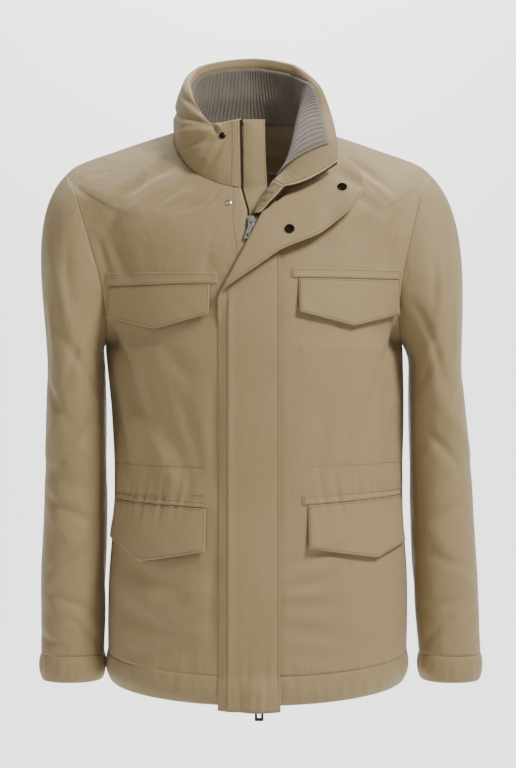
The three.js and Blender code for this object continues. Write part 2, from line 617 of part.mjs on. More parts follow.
// Sleeves
function sleevePoint(table, z, angle, drop = 0) {
  const get = (name) => column(table, "down", name, -z);
  const side = Math.sign(table[0].x);
  const [c, s] = [Math.cos(angle), Math.sin(angle)];
  const full = (k) => Math.sign(k) * Math.abs(k) ** SLEEVE_FULL;
  return [get("x") + side * get("wide") * full(c), get("y") - get("deep") * full(s), z + drop];
}

function sleeveRelief(z, angle) {
  const turn = ((angle * 180) / Math.PI + 360) % 360;
  return SLEEVE_FOLDS.reduce((sum, f) => sum + foldHeight(turn, z,
    { x0: f.a0, z0: f.z0, x1: f.a1, z1: f.z1, wide: f.wide, high: f.high }), 0);
}

// Armhole edge, from the shoulder tip down the front to the armpit and up the back
function armhole(front, backSide) {
  const armRows = shellRows.filter((row) => row >= ARMPIT_ROW && row <= TIP_ROW);
  const frontEdge = armRows.map((row) => front[shellRows.indexOf(row)]);
  const backEdge = armRows.map((row) => backSide[shellRows.indexOf(row)]);
  return [...frontEdge.reverse(), ...backEdge.slice(1, -1)];
}

function sleeveGrid(table, loop) {
  const side = Math.sign(table[0].x);
  const n = loop.length;
  const top = -table[0].down;
  const angles = range(n).map((k) => (2 * Math.PI * k) / n);
  const lines = range(CAP_STEPS).map((i) => {
    const w = (i / CAP_STEPS) ** CAP_EVEN;
    return loop.map((from, k) => {
      const a = angles[k];
      const to = sleevePoint(table, top, a);
      const span = length(sub(to, from));
      const { out: off, round, down, under } = CAP_LEAVE;
      const leave = unit([side * off, -round * Math.sin(a), -down - under * (1 - Math.cos(a))]);
      const [w2, w3] = [w * w, w * w * w];
      const h = [2 * w3 - 3 * w2 + 1, w3 - 2 * w2 + w, 3 * w2 - 2 * w3, w3 - w2];
      const p = [0, 1, 2].map((c) => h[0] * from[c] + h[1] * span * CAP_PULL * leave[c]
        + h[2] * to[c] + h[3] * span * (c === 2 ? -CAP_PULL : 0));
      const out = unit([side * Math.cos(a), -Math.sin(a), 0]);
      return add(p, out, sleeveRelief(p[2], a) * smooth(w * CAP_FADE));
    });
  });
  const foot = -table.at(-1).down;
  range(SECTION_STEPS + 1).forEach((i) => {
    const z = mix(top, foot, i / SECTION_STEPS);
    lines.push(angles.map((a) => {
      const out = unit([side * Math.cos(a), -Math.sin(a), 0]);
      const fade = smooth((z - foot) / SLEEVE_FADE);
      return add(sleevePoint(table, z, a), out, sleeveRelief(z, a) * fade);
    }));
  });
  const middle = (z) => [column(table, "down", "x", -clamp(z, foot, top)), 0, z];
  return makeRing(lines, (p) => sub(p, middle(p[2])));
}

function cuffGrid(table) {
  const foot = -table.at(-1).down;
  const side = Math.sign(table[0].x);
  const lines = CUFF_SHARES.map((share) => range(RING_POINTS).map((k) => {
    const a = (2 * Math.PI * k) / RING_POINTS;
    const puff = CUFF_PUFF * Math.sin(Math.PI * share) ** PUFF_POWER - CUFF_TUCK * (1 - share);
    const out = [side * Math.cos(a), -Math.sin(a), 0];
    return add(add(sleevePoint(table, foot, a), out, puff), [0, 0, -CUFF_DROP * (1 - share)]);
  }));
  const middle = [table.at(-1).x, 0, 0];
  return makeRing(lines, (p) => [p[0] - middle[0], p[1], 0]);
}

const rightEnd = frontRight.points.map((line) => line[FRONT_COLUMNS]);
const leftEnd = frontLeft.points.map((line) => line.at(-1));
const backRightEnd = back.points.map((line) => line[0]);
const backLeftEnd = back.points.map((line) => line[2 * BACK_COLUMNS]);
const sleeveRight = sleeveGrid(RIGHT_SLEEVE, armhole(rightEnd, backRightEnd));
const sleeveLeft = sleeveGrid(LEFT_SLEEVE, armhole(leftEnd, backLeftEnd));
const cuffRight = cuffGrid(RIGHT_SLEEVE);
const cuffLeft = cuffGrid(LEFT_SLEEVE);

// Neck seam, from the right front end round the back to the left front end, with the
// collar station of each of its points
const neckSeam = (() => {
  const last = shellRows.length - 1;
  const leftCount = frontLeft.points[last].length - 1;
  const rightSeam = frontRight.points[last].map((p, j) => ({ p, at: j / FRONT_COLUMNS }));
  const backSeam = back.points[last].map((p, j) => ({ p, at: 1 + j / BACK_COLUMNS }));
  const leftSeam = frontLeft.points[last].map((p, j) => ({ p, at: 4 - j / leftCount }));
  return [...rightSeam, ...backSeam.slice(1, -1), ...leftSeam.reverse()];
})();

// Outer face of the collar: an arc from the neck seam over the crest to the top edge
function collarPoint(foot, at, share) {
  const get = (name) => column(COLLAR, "at", name, at);
  const crest = [get("cx"), get("cy"), get("cz")];
  const top = [get("tx"), get("ty"), get("tz")];
  const pull = [0, 1, 2].map((i) => 2 * crest[i] - (foot[i] + top[i]) / 2);
  const k = 1 - share;
  return [0, 1, 2].map((i) => k * k * foot[i] + 2 * k * share * pull[i] + share * share * top[i]);
}
const collarShares = range(COLLAR_ROWS + 1).map((i) => i / COLLAR_ROWS);
const collar = makeGrid(
  collarShares.map((share) => neckSeam.map(({ p, at }) => collarPoint(p, at, share))),
  (p) => [p[0], p[1], 0.001],
);
// Thin at the neck seam, full in the middle, rounded at the top edge
const collarThick = (share, at) => {
  const full = column(COLLAR, "at", "thick", at);
  return mix(CLOTH, full, smooth(share * 2.2)) * (share > 0.9 ? 0.6 : 1);
};

const clothGrids = [frontRight, frontLeft, back, bandFrontRight, bandFrontLeft, bandBack,
  sleeveRight, sleeveLeft, cuffRight, cuffLeft, collar];
shareSeams(clothGrids);

piece("front_right", wall(frontRight, CLOTH), KHAKI);
piece("front_left", wall(frontLeft, CLOTH), KHAKI);
piece("back", wall(back, CLOTH), KHAKI);
piece("hem_band_front_right", wall(bandFrontRight, CLOTH), KHAKI);
piece("hem_band_front_left", wall(bandFrontLeft, CLOTH), KHAKI);
piece("hem_band_back", wall(bandBack, CLOTH), KHAKI);
piece("sleeve_right", wall(sleeveRight, CLOTH), KHAKI);
piece("sleeve_left", wall(sleeveLeft, CLOTH), KHAKI);
piece("cuff_right", wall(cuffRight, CLOTH), KHAKI);
piece("cuff_left", wall(cuffLeft, CLOTH), KHAKI);
piece("collar", wall(collar, (i, j) => collarThick(collarShares[i], neckSeam[j].at)), KHAKI);

// Place on the collar's inner face, moved further in
function collarInside(at, share, deeper) {
  const places = neckSeam.map((spot) => spot.at);
  const j = clamp(places.findIndex((place) => place > at) - 1, 0, places.length - 2);
  const f = (at - places[j]) / (places[j + 1] - places[j]);
  const i = Math.min(Math.floor(share * COLLAR_ROWS + 0.001), COLLAR_ROWS - 1);
  const g = share * COLLAR_ROWS - i;
  const inner = (row, spot) => {
    const depth = collarThick(collarShares[row], places[spot]) + deeper;
    return add(collar.points[row][spot], collar.out[row][spot], -depth);
  };
  const corner = inner(i, j);
  const far = inner(i + 1, j + 1);
  const other = f > g ? inner(i, j + 1) : inner(i + 1, j);
  const [first, second] = f > g ? [f, g] : [g, f];
  return add(add(corner, sub(other, corner), first), sub(far, other), second);
}

// Ribbed knit on the collar's inner face: ribs towards the neck, a plain back
function knitSolid() {
  const columns = 2 * KNIT_RIBS;
  const place = (j) => mix(KNIT_FROM, KNIT_TO, j / columns);
  const face = KNIT_SHARES.map((share) => range(columns + 1).map((j) => (
    collarInside(place(j), share, KNIT_LIE + KNIT_THICK + (j % 2 ? RIB_HEIGHT : 0)))));
  const plain = KNIT_SHARES.map((share) => range(columns / KNIT_SPAN + 1).map((k) => (
    collarInside(place(k * KNIT_SPAN), share, KNIT_LIE))));
  const [m, n] = [face[0].length, plain[0].length];
  const behind = face.length * m;
  const faces = [];
  const sheet = (start, width, turned) => range(KNIT_SHARES.length - 1).forEach((i) => {
    range(width - 1).forEach((j) => {
      const [a, b] = [start + i * width + j, start + i * width + j + 1];
      const [c, d] = [b + width, a + width];
      faces.push(...(turned ? [a, c, b, a, d, c] : [a, b, c, a, c, d]));
    });
  });
  sheet(0, m, false);
  sheet(behind, n, true);
  // top and foot edges, where one plain column meets KNIT_SPAN of the face's
  const edge = (frontStart, backStart, turned) => range(n - 1).forEach((k) => {
    const half = KNIT_SPAN / 2;
    const [p, q] = [backStart + k, backStart + k + 1];
    const spots = range(KNIT_SPAN + 1).map((i) => frontStart + k * KNIT_SPAN + i);
    const triangles = [[p, q, spots[half]]];
    range(KNIT_SPAN).forEach((i) => triangles.push([i < half ? p : q, spots[i + 1], spots[i]]));
    triangles.forEach(([x, y, z]) => faces.push(...(turned ? [x, z, y] : [x, y, z])));
  });
  const rows = KNIT_SHARES.length;
  edge(0, behind, false);
  edge((rows - 1) * m, behind + (rows - 1) * n, true);
  // the two ends
  range(rows - 1).forEach((i) => {
    const [a, b] = [i * m, (i + 1) * m];
    const [c, d] = [behind + i * n, behind + (i + 1) * n];
    faces.push(a, b, d, a, d, c);
    faces.push(a + m - 1, d + n - 1, b + m - 1, a + m - 1, c + n - 1, d + n - 1);
  });
  return solid([...face.flat(), ...plain.flat()].flat(), faces);
}
piece("collar_knit", knitSolid(), KNIT);

// Lining of the back neck, inside the back
function liningPoint(row, j, deeper) {
  const share = mix(-LINING_REACH, LINING_REACH, j / (2 * BACK_COLUMNS));
  const side = share < 0 ? -1 : 1;
  const u = Math.abs(share);
  const p = bodyPoint("back", side, u, row);
  const across = sub(bodyPoint("back", side, u + 0.02, row), p);
  const up = sub(bodyPoint("back", side, u, row + 0.1), p);
  return add(p, unit(cross(up, across)), side * -deeper);
}
const liningSheet = (deeper) => LINING_ROWS.map((row) => (
  range(2 * BACK_COLUMNS + 1).map((j) => liningPoint(row, j, deeper))));
const liningFace = CLOTH + LINING_GAP;
piece("lining_back_neck", shell(liningSheet(liningFace), liningSheet(liningFace + THIN)), LINING);

// Storm flap: where a point of the flat flap lies once its top is folded back. off is the
// distance from the flap's middle layer towards its outer face.
function flapPoint(across, up, off) {
  const x = FLAP_SEAM_X - across - FOLD_FOOT.x;
  const z = up - FOLD_FOOT.z;
  const along = x * FOLD_RISE.x + z * FOLD_RISE.z;
  const past = z * FOLD_RISE.x - x * FOLD_RISE.z;
  const radius = mix(...FOLD_RADIUS, smooth(along / FOLD_LENGTH));
  const angle = clamp(past / radius, 0, FOLD_TURN);
  const rest = Math.max(past - FOLD_TURN * radius, 0);
  const flat = past < 0 ? past : radius * Math.sin(angle) + rest * Math.cos(angle);
  const high = past < 0 ? 0 : radius * (1 - Math.cos(angle)) + rest * Math.sin(angle);
  const { most, from, over, to, fade, wide } = FLAP_SAG;
  const sag = most * smooth((along - from) / over) * smooth((to - along) / fade) * smooth(rest / wide);
  const sideways = flat - sag - off * Math.sin(angle);
  const px = FOLD_FOOT.x + along * FOLD_RISE.x - sideways * FOLD_RISE.z;
  const pz = FOLD_FOOT.z + along * FOLD_RISE.z + sideways * FOLD_RISE.x;
  // over the lower slider the flap stands off more, and its free edge slopes to the body
  const beside = (px - SLIDER_FOOT.x) / FLAP_BUMP.wide;
  const bump = smooth((FLAP_BUMP.from - up) / FLAP_BUMP.over) * Math.exp(-(beside ** 2));
  const sloping = smooth((across - FLAP_WIDTH + FLAP_EDGE) / FLAP_EDGE);
  const slope = FLAP_SLOPE * sloping * smooth(-past / FOLD_NEAR);
  const hold = Math.max(pz, HANG_FROM);
  const lift = FLAP_LIFT + FLAP_BUMP.high * bump - slope + high + off * Math.cos(angle);
  const { point } = onFront(px, hold, lift);
  return add(point, [0, 0, pz - hold]);
}
// First distance from the seam at which a row of the flap is kept
function flapStart(up) {
  const radius = FOLD_RADIUS[1];
  const kept = (across) => {
    const p = flapPoint(across, up, 0);
    return p[2] < FLAP_TRIM.z + FLAP_TRIM.slope * p[0];
  };
  if (kept(0)) return 0;
  return range(FLAP_WIDTH - radius).find((across) => kept(across)) ?? FLAP_WIDTH - 20;
}
function flapPlaces(up) {
  const leaning = (up - FOLD_FOOT.z) * (FOLD_RISE.x / FOLD_RISE.z);
  const fold = 2 * FLAP_WIDTH + FOLD_FOOT.x - FLAP_SEAM_X - leaning;
  const rolled = fold + (FOLD_TURN * mix(...FOLD_RADIUS, 0.6)) / FOLD_RISE.z;
  const start = flapStart(up);
  const one = clamp(fold, start + FLAP_SPAN, FLAP_WIDTH - 2 * FLAP_SPAN);
  const two = clamp(rolled, one + FLAP_SPAN, FLAP_WIDTH - FLAP_SPAN);
  const stops = [start, one, two, FLAP_WIDTH];
  const between = (n, k) => range(n).map((i) => mix(stops[k], stops[k + 1], (i + 1) / n));
  return [start, ...FLAP_SPANS.flatMap(between)];
}
const flapRows = [
  ...FLAP_ROWS.flatMap(({ from, to, steps }) => range(steps).map((i) => mix(from, to, i / steps))),
  FLAP_TOP,
];
// The free top corner is rounded
function flapTop(across, up) {
  const { drop, tall, wide } = FLAP_CORNER;
  return up - drop * smooth((up - FLAP_TOP + tall) / tall) * smooth((across - FLAP_WIDTH + wide) / wide);
}
const flapSheet = (off) => flapRows.map((up) => (
  flapPlaces(up).map((across) => flapPoint(across, flapTop(across, up), off))));
piece("storm_flap", shell(flapSheet(FLAP_THICK / 2), flapSheet(-FLAP_THICK / 2)), KHAKI);

// Wind flap behind the zip, following the right front's edge and the collar's end
const openEdge = [...frontRight.points.map((line) => line[0]), ...collar.points.map((line) => line[0])];
function edgeDepth(z) {
  const i = clamp(openEdge.findIndex((p) => p[2] > z), 1, openEdge.length - 1);
  const [a, b] = [openEdge[i - 1], openEdge[i]];
  return mix(a[1], b[1], clamp((z - a[2]) / (b[2] - a[2]), 0, 1));
}
const windSheet = (deeper) => range(WIND_ROWS + 1).map((i) => {
  const z = mix(WIND_FOOT, WIND_TOP, i / WIND_ROWS);
  const right = mix(WIND_RIGHT.foot, WIND_RIGHT.top, smooth((z + 200) / 250));
  return range(4).map((j) => {
    const x = mix(WIND_LEFT, right, j / 3);
    const neck = WIND_NECK * smooth((z - WIND_NECK_Z) / WIND_NECK_TALL);
    return [x, edgeDepth(z) + CLOTH + WIND_BACK + neck + deeper + WIND_BOW * x ** 2, z];
  });
});
piece("wind_flap", shell(windSheet(0), windSheet(THIN)), KHAKI);

// Zip tapes on the edges of the fronts and the collar's ends. Where the left front rolls forward,
// behind the slider, its tape is pinched and turns over with it.
function tape(edgeLines) {
  const spots = edgeLines.map(({ line, out, wide }) => {
    const side = unit(sub(line[0], line[1]));
    const middle = add(add(line[0], side, SEAM), out[0], -CLOTH / 2);
    return { middle, side, out: out[0], wide, thick: TAPE_THICK };
  });
  const turned = spots.flatMap((spot, i) => {
    const last = spots[Math.max(i - 1, 0)];
    if (dot(last.side, spot.side) > 0) return [spot];
    const between = range(TAPE_TURNS).map((k) => {
      const share = (k + 1) / (TAPE_TURNS + 1);
      const [c, s] = [Math.cos(Math.PI * share), Math.sin(Math.PI * share)];
      const side = last.side.map((v, n) => c * v + s * last.out[n]);
      const out = last.out.map((v, n) => c * v - s * last.side[n]);
      const middle = add(last.middle, sub(spot.middle, last.middle), share);
      return { middle: add(middle, side, TAPE_AWAY * s), side, out, wide: TAPE_PINCH, thick: TAPE_PINCH };
    });
    return [...between, spot];
  });
  const face = (sign) => turned.map(({ middle, side, out, wide, thick }) => {
    const near = add(middle, out, (sign * thick) / 2);
    return [near, add(near, side, wide)];
  });
  return shell(face(1), face(-1));
}
const edgeLines = (grid, wideAt) => (
  grid.points.map((line, i) => ({ line, out: grid.out[i], wide: wideAt(i) })));
const flipped = (lines) => (
  lines.map(({ line, out, wide }) => ({ line: [...line].reverse(), out: [...out].reverse(), wide })));
const shut = () => TAPE_WIDE;
const open = () => TAPE_OPEN;
const opening = (i) => (shellRows[i] > TURN_FROM ? TAPE_OPEN : TAPE_WIDE);
piece("zip_tape_right", tape([...edgeLines(bandFrontRight, shut).slice(0, -1),
  ...edgeLines(frontRight, opening), ...edgeLines(collar, open).slice(1)]), TAPE);
piece("zip_tape_left", tape([...edgeLines(bandFrontLeft, shut).slice(0, -1),
  ...edgeLines(frontLeft, opening), ...flipped(edgeLines(collar, open)).slice(1)]), TAPE);

// Place on a front's outer facets at a given x and z, moved out by lift
function onFacets(grid, x, z, lift) {
  const spot = (i, j) => ({ p: grid.points[i][j], out: grid.out[i][j] });
  for (let i = 0; i < grid.points.length - 1; i += 1) {
    for (let j = grid.points[0].length - 2; j >= 0; j -= 1) {
      const corners = [spot(i, j), spot(i, j + 1), spot(i + 1, j + 1), spot(i + 1, j)];
      for (const [a, b, c] of [[corners[0], corners[1], corners[2]], [corners[0], corners[2], corners[3]]]) {
        const [e, f, g] = [sub(b.p, a.p), sub(c.p, a.p), [x - a.p[0], 0, z - a.p[2]]];
        const area = e[0] * f[2] - e[2] * f[0];
        const v = (g[0] * f[2] - g[2] * f[0]) / area;
        const w = (e[0] * g[2] - e[2] * g[0]) / area;
        if (v >= -0.001 && w >= -0.001 && v + w <= 1.001) {
          const y = a.p[1] + v * e[1] + w * f[1];
          const out = add(add(add([0, 0, 0], a.out, 1 - v - w), b.out, v), c.out, w);
          return add([x, y, z], unit(out), lift);
        }
      }
    }
  }
  return onFront(x, z, lift).point;
}
// x of a front's column of points at a height
function columnAt(grid, j, z) {
  const i = clamp(grid.points.findIndex((line) => line[j][2] > z), 1, grid.points.length - 1);
  const [a, b] = [grid.points[i - 1][j], grid.points[i][j]];
  return mix(a[0], b[0], (z - a[2]) / (b[2] - a[2]));
}
// Points across a pocket piece between two x, bending where the front itself bends
function acrossFront(grid, left, right, middle, heightAt, lift) {
  const inside = range(grid.points[0].length)
    .map((j) => ({ j, x: columnAt(grid, j, middle) }))
    .filter(({ x }) => x > left + POCKET_CLEAR && x < right - POCKET_CLEAR)
    .sort((a, b) => a.x - b.x)
    .map(({ j, x }) => columnAt(grid, j, heightAt(x)));
  return [left, ...inside, right].map((x) => onFacets(grid, x, heightAt(x), lift));
}

// Pocket flaps with a point, and the stitched band over each
function pocket(p) {
  const grid = p.left < 0 ? frontRight : frontLeft;
  const topAt = (x) => mix(p.leftTop, p.rightTop, (x - p.left) / (p.right - p.left));
  const footAt = (x) => (x < p.pointX
    ? mix(p.leftFoot, p.point, (x - p.left) / (p.pointX - p.left))
    : mix(p.point, p.rightFoot, (x - p.pointX) / (p.right - p.pointX)));
  const middle = (p.leftTop + p.leftFoot) / 2;
  const flap = (lift) => POCKET_SHARES.map((down) => {
    const heightAt = (x) => mix(topAt(x), footAt(x), down);
    const stand = lift + POCKET_STAND * down;
    const toPoint = acrossFront(grid, p.left, p.pointX, middle, heightAt, stand);
    const fromPoint = acrossFront(grid, p.pointX, p.right, middle, heightAt, stand);
    return [...toPoint, ...fromPoint.slice(1)];
  });
  piece(`pocket_flap_${p.name}`, shell(flap(LIE + THIN), flap(LIE)), KHAKI);
  const band = (lift) => range(2).map((i) => acrossFront(grid, p.bandLeft, p.bandRight, p.leftTop, (x) => {
    const bottom = topAt(clamp(x, p.left, p.right)) + 2 * SEAM;
    const top = mix(p.bandLeftTop, p.bandRightTop, (x - p.bandLeft) / (p.bandRight - p.bandLeft));
    return mix(bottom, top, i);
  }, lift));
  piece(`pocket_band_${p.name}`, shell(band(LIE + BAND_THICK), band(LIE)), KHAKI);
}
POCKETS.forEach(pocket);

// A round snap whose axis stands on the cloth
function snap(name, place, out, profile, look) {
  const lathe = new THREE.LatheGeometry(profile.map(([r, y]) => new THREE.Vector2(r, y)), SNAP_SIDES);
  const mesh = piece(name, lathe, look);
  mesh.position.set(...add(place, out, SEAM));
  mesh.quaternion.setFromUnitVectors(new THREE.Vector3(0, 1, 0), new THREE.Vector3(...out));
}
// Point and direction of the turned flap's visible face over a place of the front
function onTurnedFlap(x, z) {
  const along = (x - FOLD_FOOT.x) * FOLD_RISE.x + (z - FOLD_FOOT.z) * FOLD_RISE.z;
  const beside = (x - FOLD_FOOT.x) * FOLD_RISE.z - (z - FOLD_FOOT.z) * FOLD_RISE.x;
  const radius = mix(...FOLD_RADIUS, smooth(along / FOLD_LENGTH));
  const past = FOLD_TURN * radius + (beside + radius * Math.sin(FOLD_TURN)) / -Math.cos(FOLD_TURN);
  const at = (more, on) => flapPoint(
    FLAP_SEAM_X - FOLD_FOOT.x - (along + on) * FOLD_RISE.x + (past + more) * FOLD_RISE.z,
    FOLD_FOOT.z + (along + on) * FOLD_RISE.z + (past + more) * FOLD_RISE.x,
    -FLAP_THICK / 2,
  );
  const p = at(0, 0);
  const out = unit(cross(sub(at(3, 0), p), sub(at(0, 3), p)));
  return { point: p, out: out[1] < 0 ? out : out.map((c) => -c) };
}
for (const { name, x, z } of SOCKETS) {
  const { point, out } = onTurnedFlap(x, z);
  snap(name, point, out, SOCKET_PROFILE, DARK_METAL);
}
const chestStud = onFront(CHEST_STUD.x, CHEST_STUD.z);
snap("snap_stud_chest", chestStud.point, chestStud.out, STUD_PROFILE, STEEL);
const studInside = collarInside(COLLAR_STUD.at, COLLAR_STUD.share, 0);
const studOut = unit(sub(collarInside(COLLAR_STUD.at, COLLAR_STUD.share, -1), studInside));
const collarDepth = collarThick(COLLAR_STUD.share, COLLAR_STUD.at);
snap("snap_stud_collar", add(studInside, studOut, collarDepth + 0.2), studOut, STUD_PROFILE, DARK_METAL);

// Box from two corners, as a manifold
function block(low, high) {
  const size = high.map((v, i) => v - low[i]);
  const geometry = new THREE.BoxGeometry(...size);
  geometry.translate(...low.map((v, i) => (v + high[i]) / 2));
  const position = geometry.attributes.position;
  const spots = [];
  const index = range(position.count).map((i) => {
    const p = [position.getX(i), position.getY(i), position.getZ(i)];
    const found = spots.findIndex((q) => length(sub(p, q)) < 1e-4);
    return found < 0 ? spots.push(p) - 1 : found;
  });
  const triangles = Array.from(geometry.index.array, (i) => index[i]);
  return new wasm.Manifold(new wasm.Mesh({
    numProp: 3,
    vertProperties: new Float32Array(spots.flat()),
    triVerts: new Uint32Array(triangles),
  }));
}
function fromManifold(body) {
  const { vertProperties, triVerts } = body.getMesh();
  const geometry = new THREE.BufferGeometry();
  geometry.setAttribute("position", new THREE.BufferAttribute(new Float32Array(vertProperties), 3));
  geometry.setIndex(Array.from(triVerts));
  return geometry.toNonIndexed();
}

// Slider: a plate over the fronts' edges with a tunnelled bridge; local z points off the cloth
function sliderBody(low) {
  const half = SLIDER.wide / 2;
  const top = low + SLIDER.plate;
  const floor = top + TUNNEL_FLOOR;
  const b = BRIDGE;
  const body = block([-half, -SLIDER.tall / 2, low], [half, SLIDER.tall / 2, top])
    .add(block([-b.wide / 2, -b.tall / 2, top - 0.2], [b.wide / 2, b.tall / 2, top + b.high]))
    .subtract(block([-b.wide, -b.tunnelTall / 2, floor], [b.wide, b.tunnelTall / 2, floor + b.tunnelHigh]));
  return fromManifold(body);
}
// Pull tab: a plate whose crossbar runs through the bridge; its origin is the crossbar's middle.
// Below the window it narrows to its foot, which hangs askew to the left.
function pullTab({ wide, long, thick, window, foot, askew }, hole) {
  const shape = new THREE.Shape();
  const half = wide / 2;
  const top = CROSSBAR / 2;
  const [left, right] = [-askew - foot / 2, -askew + foot / 2];
  const r = PULL_CORNER;
  shape.moveTo(left + r, -long);
  shape.lineTo(right - r, -long);
  shape.absarc(right - r, -long + r, r, -Math.PI / 2, 0);
  shape.lineTo(half, -window - PULL_NECK);
  shape.lineTo(half, top - PULL_CHAMFER);
  shape.lineTo(half - PULL_CHAMFER, top);
  shape.lineTo(-half + PULL_CHAMFER, top);
  shape.lineTo(-half, top - PULL_CHAMFER);
  shape.lineTo(-half, -window - PULL_NECK);
  shape.lineTo(left, -long + r);
  shape.absarc(left + r, -long + r, r, Math.PI, 1.5 * Math.PI);
  const cut = (x, y0, y1) => {
    const path = new THREE.Path();
    const [low, high] = [y0, y1].map((y) => -askew * clamp((-y - window) / (long - window), 0, 1));
    path.moveTo(low - x, y0);
    path.lineTo(low + x, y0);
    path.lineTo(high + x, y1);
    path.lineTo(high - x, y1);
    path.closePath();
    shape.holes.push(path);
  };
  cut(BRIDGE.wide / 2 + PULL_PLAY, -window, -CROSSBAR / 2);
  cut(hole.half, hole.from, hole.to);
  const geometry = new THREE.ExtrudeGeometry(shape, { depth: thick, bevelEnabled: false, curveSegments: 4 });
  geometry.translate(0, 0, -thick / 2);
  return geometry;
}
const axleHigh = (rest) => rest + SLIDER.plate + TUNNEL_FLOOR + BRIDGE.tunnelHigh / 2;
// A frame standing on the front: x to the right, y up the cloth, z off it
function frameOn(x, z, upright) {
  const hold = Math.max(z, HANG_FROM);
  const { point, out } = onFront(x, hold);
  const off = upright ? unit([0, out[1], 0]) : unit([0, out[1], out[2]]);
  const group = new THREE.Group();
  const up = cross(off, [1, 0, 0]);
  group.matrixAutoUpdate = false;
  group.matrix.makeBasis(new THREE.Vector3(1, 0, 0), new THREE.Vector3(...up), new THREE.Vector3(...off));
  group.matrix.setPosition(...add(point, [0, 0, z - hold]));
  jacket.add(group);
  return group;
}
const topFrame = frameOn(SLIDER.x, SLIDER.z, false);
piece("slider_top", sliderBody(SLIDER.rest), STEEL, topFrame);
const pullTop = piece("pull_tab_top", pullTab(PULL_TOP, HOLE_TOP), STEEL, topFrame);
pullTop.position.set(0, 0, axleHigh(SLIDER.rest));
pullTop.rotation.x = PULL_TOP.lean;
const footFrame = frameOn(SLIDER_FOOT.x, SLIDER_FOOT.z, true);
piece("slider_bottom", sliderBody(SLIDER_FOOT.rest), BLACK, footFrame);
const pullFoot = piece("pull_tab_bottom", pullTab(PULL_FOOT, HOLE_FOOT), BLACK, footFrame);
pullFoot.position.set(0, 0, axleHigh(SLIDER_FOOT.rest));

export default jacket;
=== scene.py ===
# A padded khaki field jacket, filled out as if worn, with a storm flap folded back at the top.
# Lengths are in millimetres until a mesh is made; X runs to the wearer's left, Y to the back, Z up.

import math

import bpy
import numpy as np
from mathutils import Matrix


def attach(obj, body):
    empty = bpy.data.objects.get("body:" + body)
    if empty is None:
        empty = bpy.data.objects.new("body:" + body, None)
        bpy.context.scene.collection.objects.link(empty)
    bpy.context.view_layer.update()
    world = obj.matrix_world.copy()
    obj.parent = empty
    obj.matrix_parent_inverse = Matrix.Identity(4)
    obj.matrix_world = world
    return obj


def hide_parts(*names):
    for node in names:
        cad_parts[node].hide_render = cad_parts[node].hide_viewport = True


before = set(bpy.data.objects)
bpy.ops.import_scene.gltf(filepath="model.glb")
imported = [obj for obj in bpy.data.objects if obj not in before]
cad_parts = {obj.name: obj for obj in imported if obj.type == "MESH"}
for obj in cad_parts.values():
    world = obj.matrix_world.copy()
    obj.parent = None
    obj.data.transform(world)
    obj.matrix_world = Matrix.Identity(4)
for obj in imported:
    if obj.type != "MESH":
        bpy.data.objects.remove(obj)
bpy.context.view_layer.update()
MM = 0.001

# Cloth and seams
CLOTH = 3.0
THIN = 1.6
SEAM = 0.3
NECK_ROW = 13
TIP_ROW = 11
BAND_ROW = 1


def table(names, *rows):
    """Columns of a table by name, each a numpy array down the rows."""
    return {name: np.array([row[i] for row in rows], float) for i, name in enumerate(names.split())}


# Body rows from the hem edge to the neck seam: middle (yc, zc), end (xe, ye, ze), and how far
# round the row has turned at its end
FRONT = table("zc yc xe ye ze turn",
    (-698, -143, 198, 0, -681, 1),  # hem edge
    (-661, -146, 201, 0, -644, 1),  # band seam
    (-560, -148, 201, 0, -551, 1),  # hip
    (-440, -138, 194, 2, -438, 1),  # waist
    (-330, -141, 197, 3, -331, 1),  # ribs
    (-252, -144, 200, 2, -258, 1),  # under the armpit
    (-232, -144, 200, 0, -236, 0.96),  # armpit
    (-204, -143, 194, -47, -212, 0.72),  # armhole
    (-168, -141, 197, -70, -160, 0.55),
    (-134, -137, 212, -65, -98, 0.5),
    (-105, -130, 229, -40, -40, 0.6),
    (-82, -121, 240, 5, 0, 0.85),  # shoulder tip
    (-57, -110, 170, 7, 29, 0.95),  # shoulder seam
    (-35, -97, 100, 6, 52, 1))  # neck seam
BACK = table("zc yc xe ye ze turn",
    (-694, 126, 198, 0, -681, 1),
    (-657, 129, 201, 0, -644, 1),
    (-556, 130, 201, 0, -551, 1),
    (-438, 116, 194, 2, -438, 1),
    (-326, 122, 197, 3, -331, 1),
    (-240, 130, 200, 2, -258, 1),
    (-212, 132, 200, 0, -236, 0.96),
    (-176, 134, 199, 46, -204, 0.72),
    (-128, 135, 206, 72, -148, 0.55),
    (-76, 133, 218, 68, -88, 0.5),
    (-28, 126, 231, 45, -34, 0.6),
    (10, 115, 240, 5, 0, 0.85),
    (40, 99, 170, 7, 29, 0.95),
    (65, 80, 100, 6, 52, 1))
CURVE = 0.5523  # handle that makes a cubic curve a quarter ellipse
COARSE = 10  # columns of the solid's front, which place its turned edge
SWAY = table("z x", (-700, 4), (-440, 6), (-330, 5), (-236, 0), (-120, -5), (0, -8), (60, -7))
RIGHT_EDGE = table("row x", (0, -0.6), (9.8, -0.7), (10.6, -1.3), (11.4, -3.9), (12.3, -9), (13, -12.7))
LEFT_EDGE = table("row x", (0, 6.6), (10.6, 6.6), (11.4, 9), (12.3, 24), (13, 38))

# Top of the left front, rolled forward
TURN_FROM = 11.15
TURN_ZIP = dict(x=(0, 36), z=(-75, -46), rise=20)
TURN_BULGE = np.array([-7.0, 0.0, 4.0])
TURN_COLUMNS = 3
TURN_LAY = 4.0

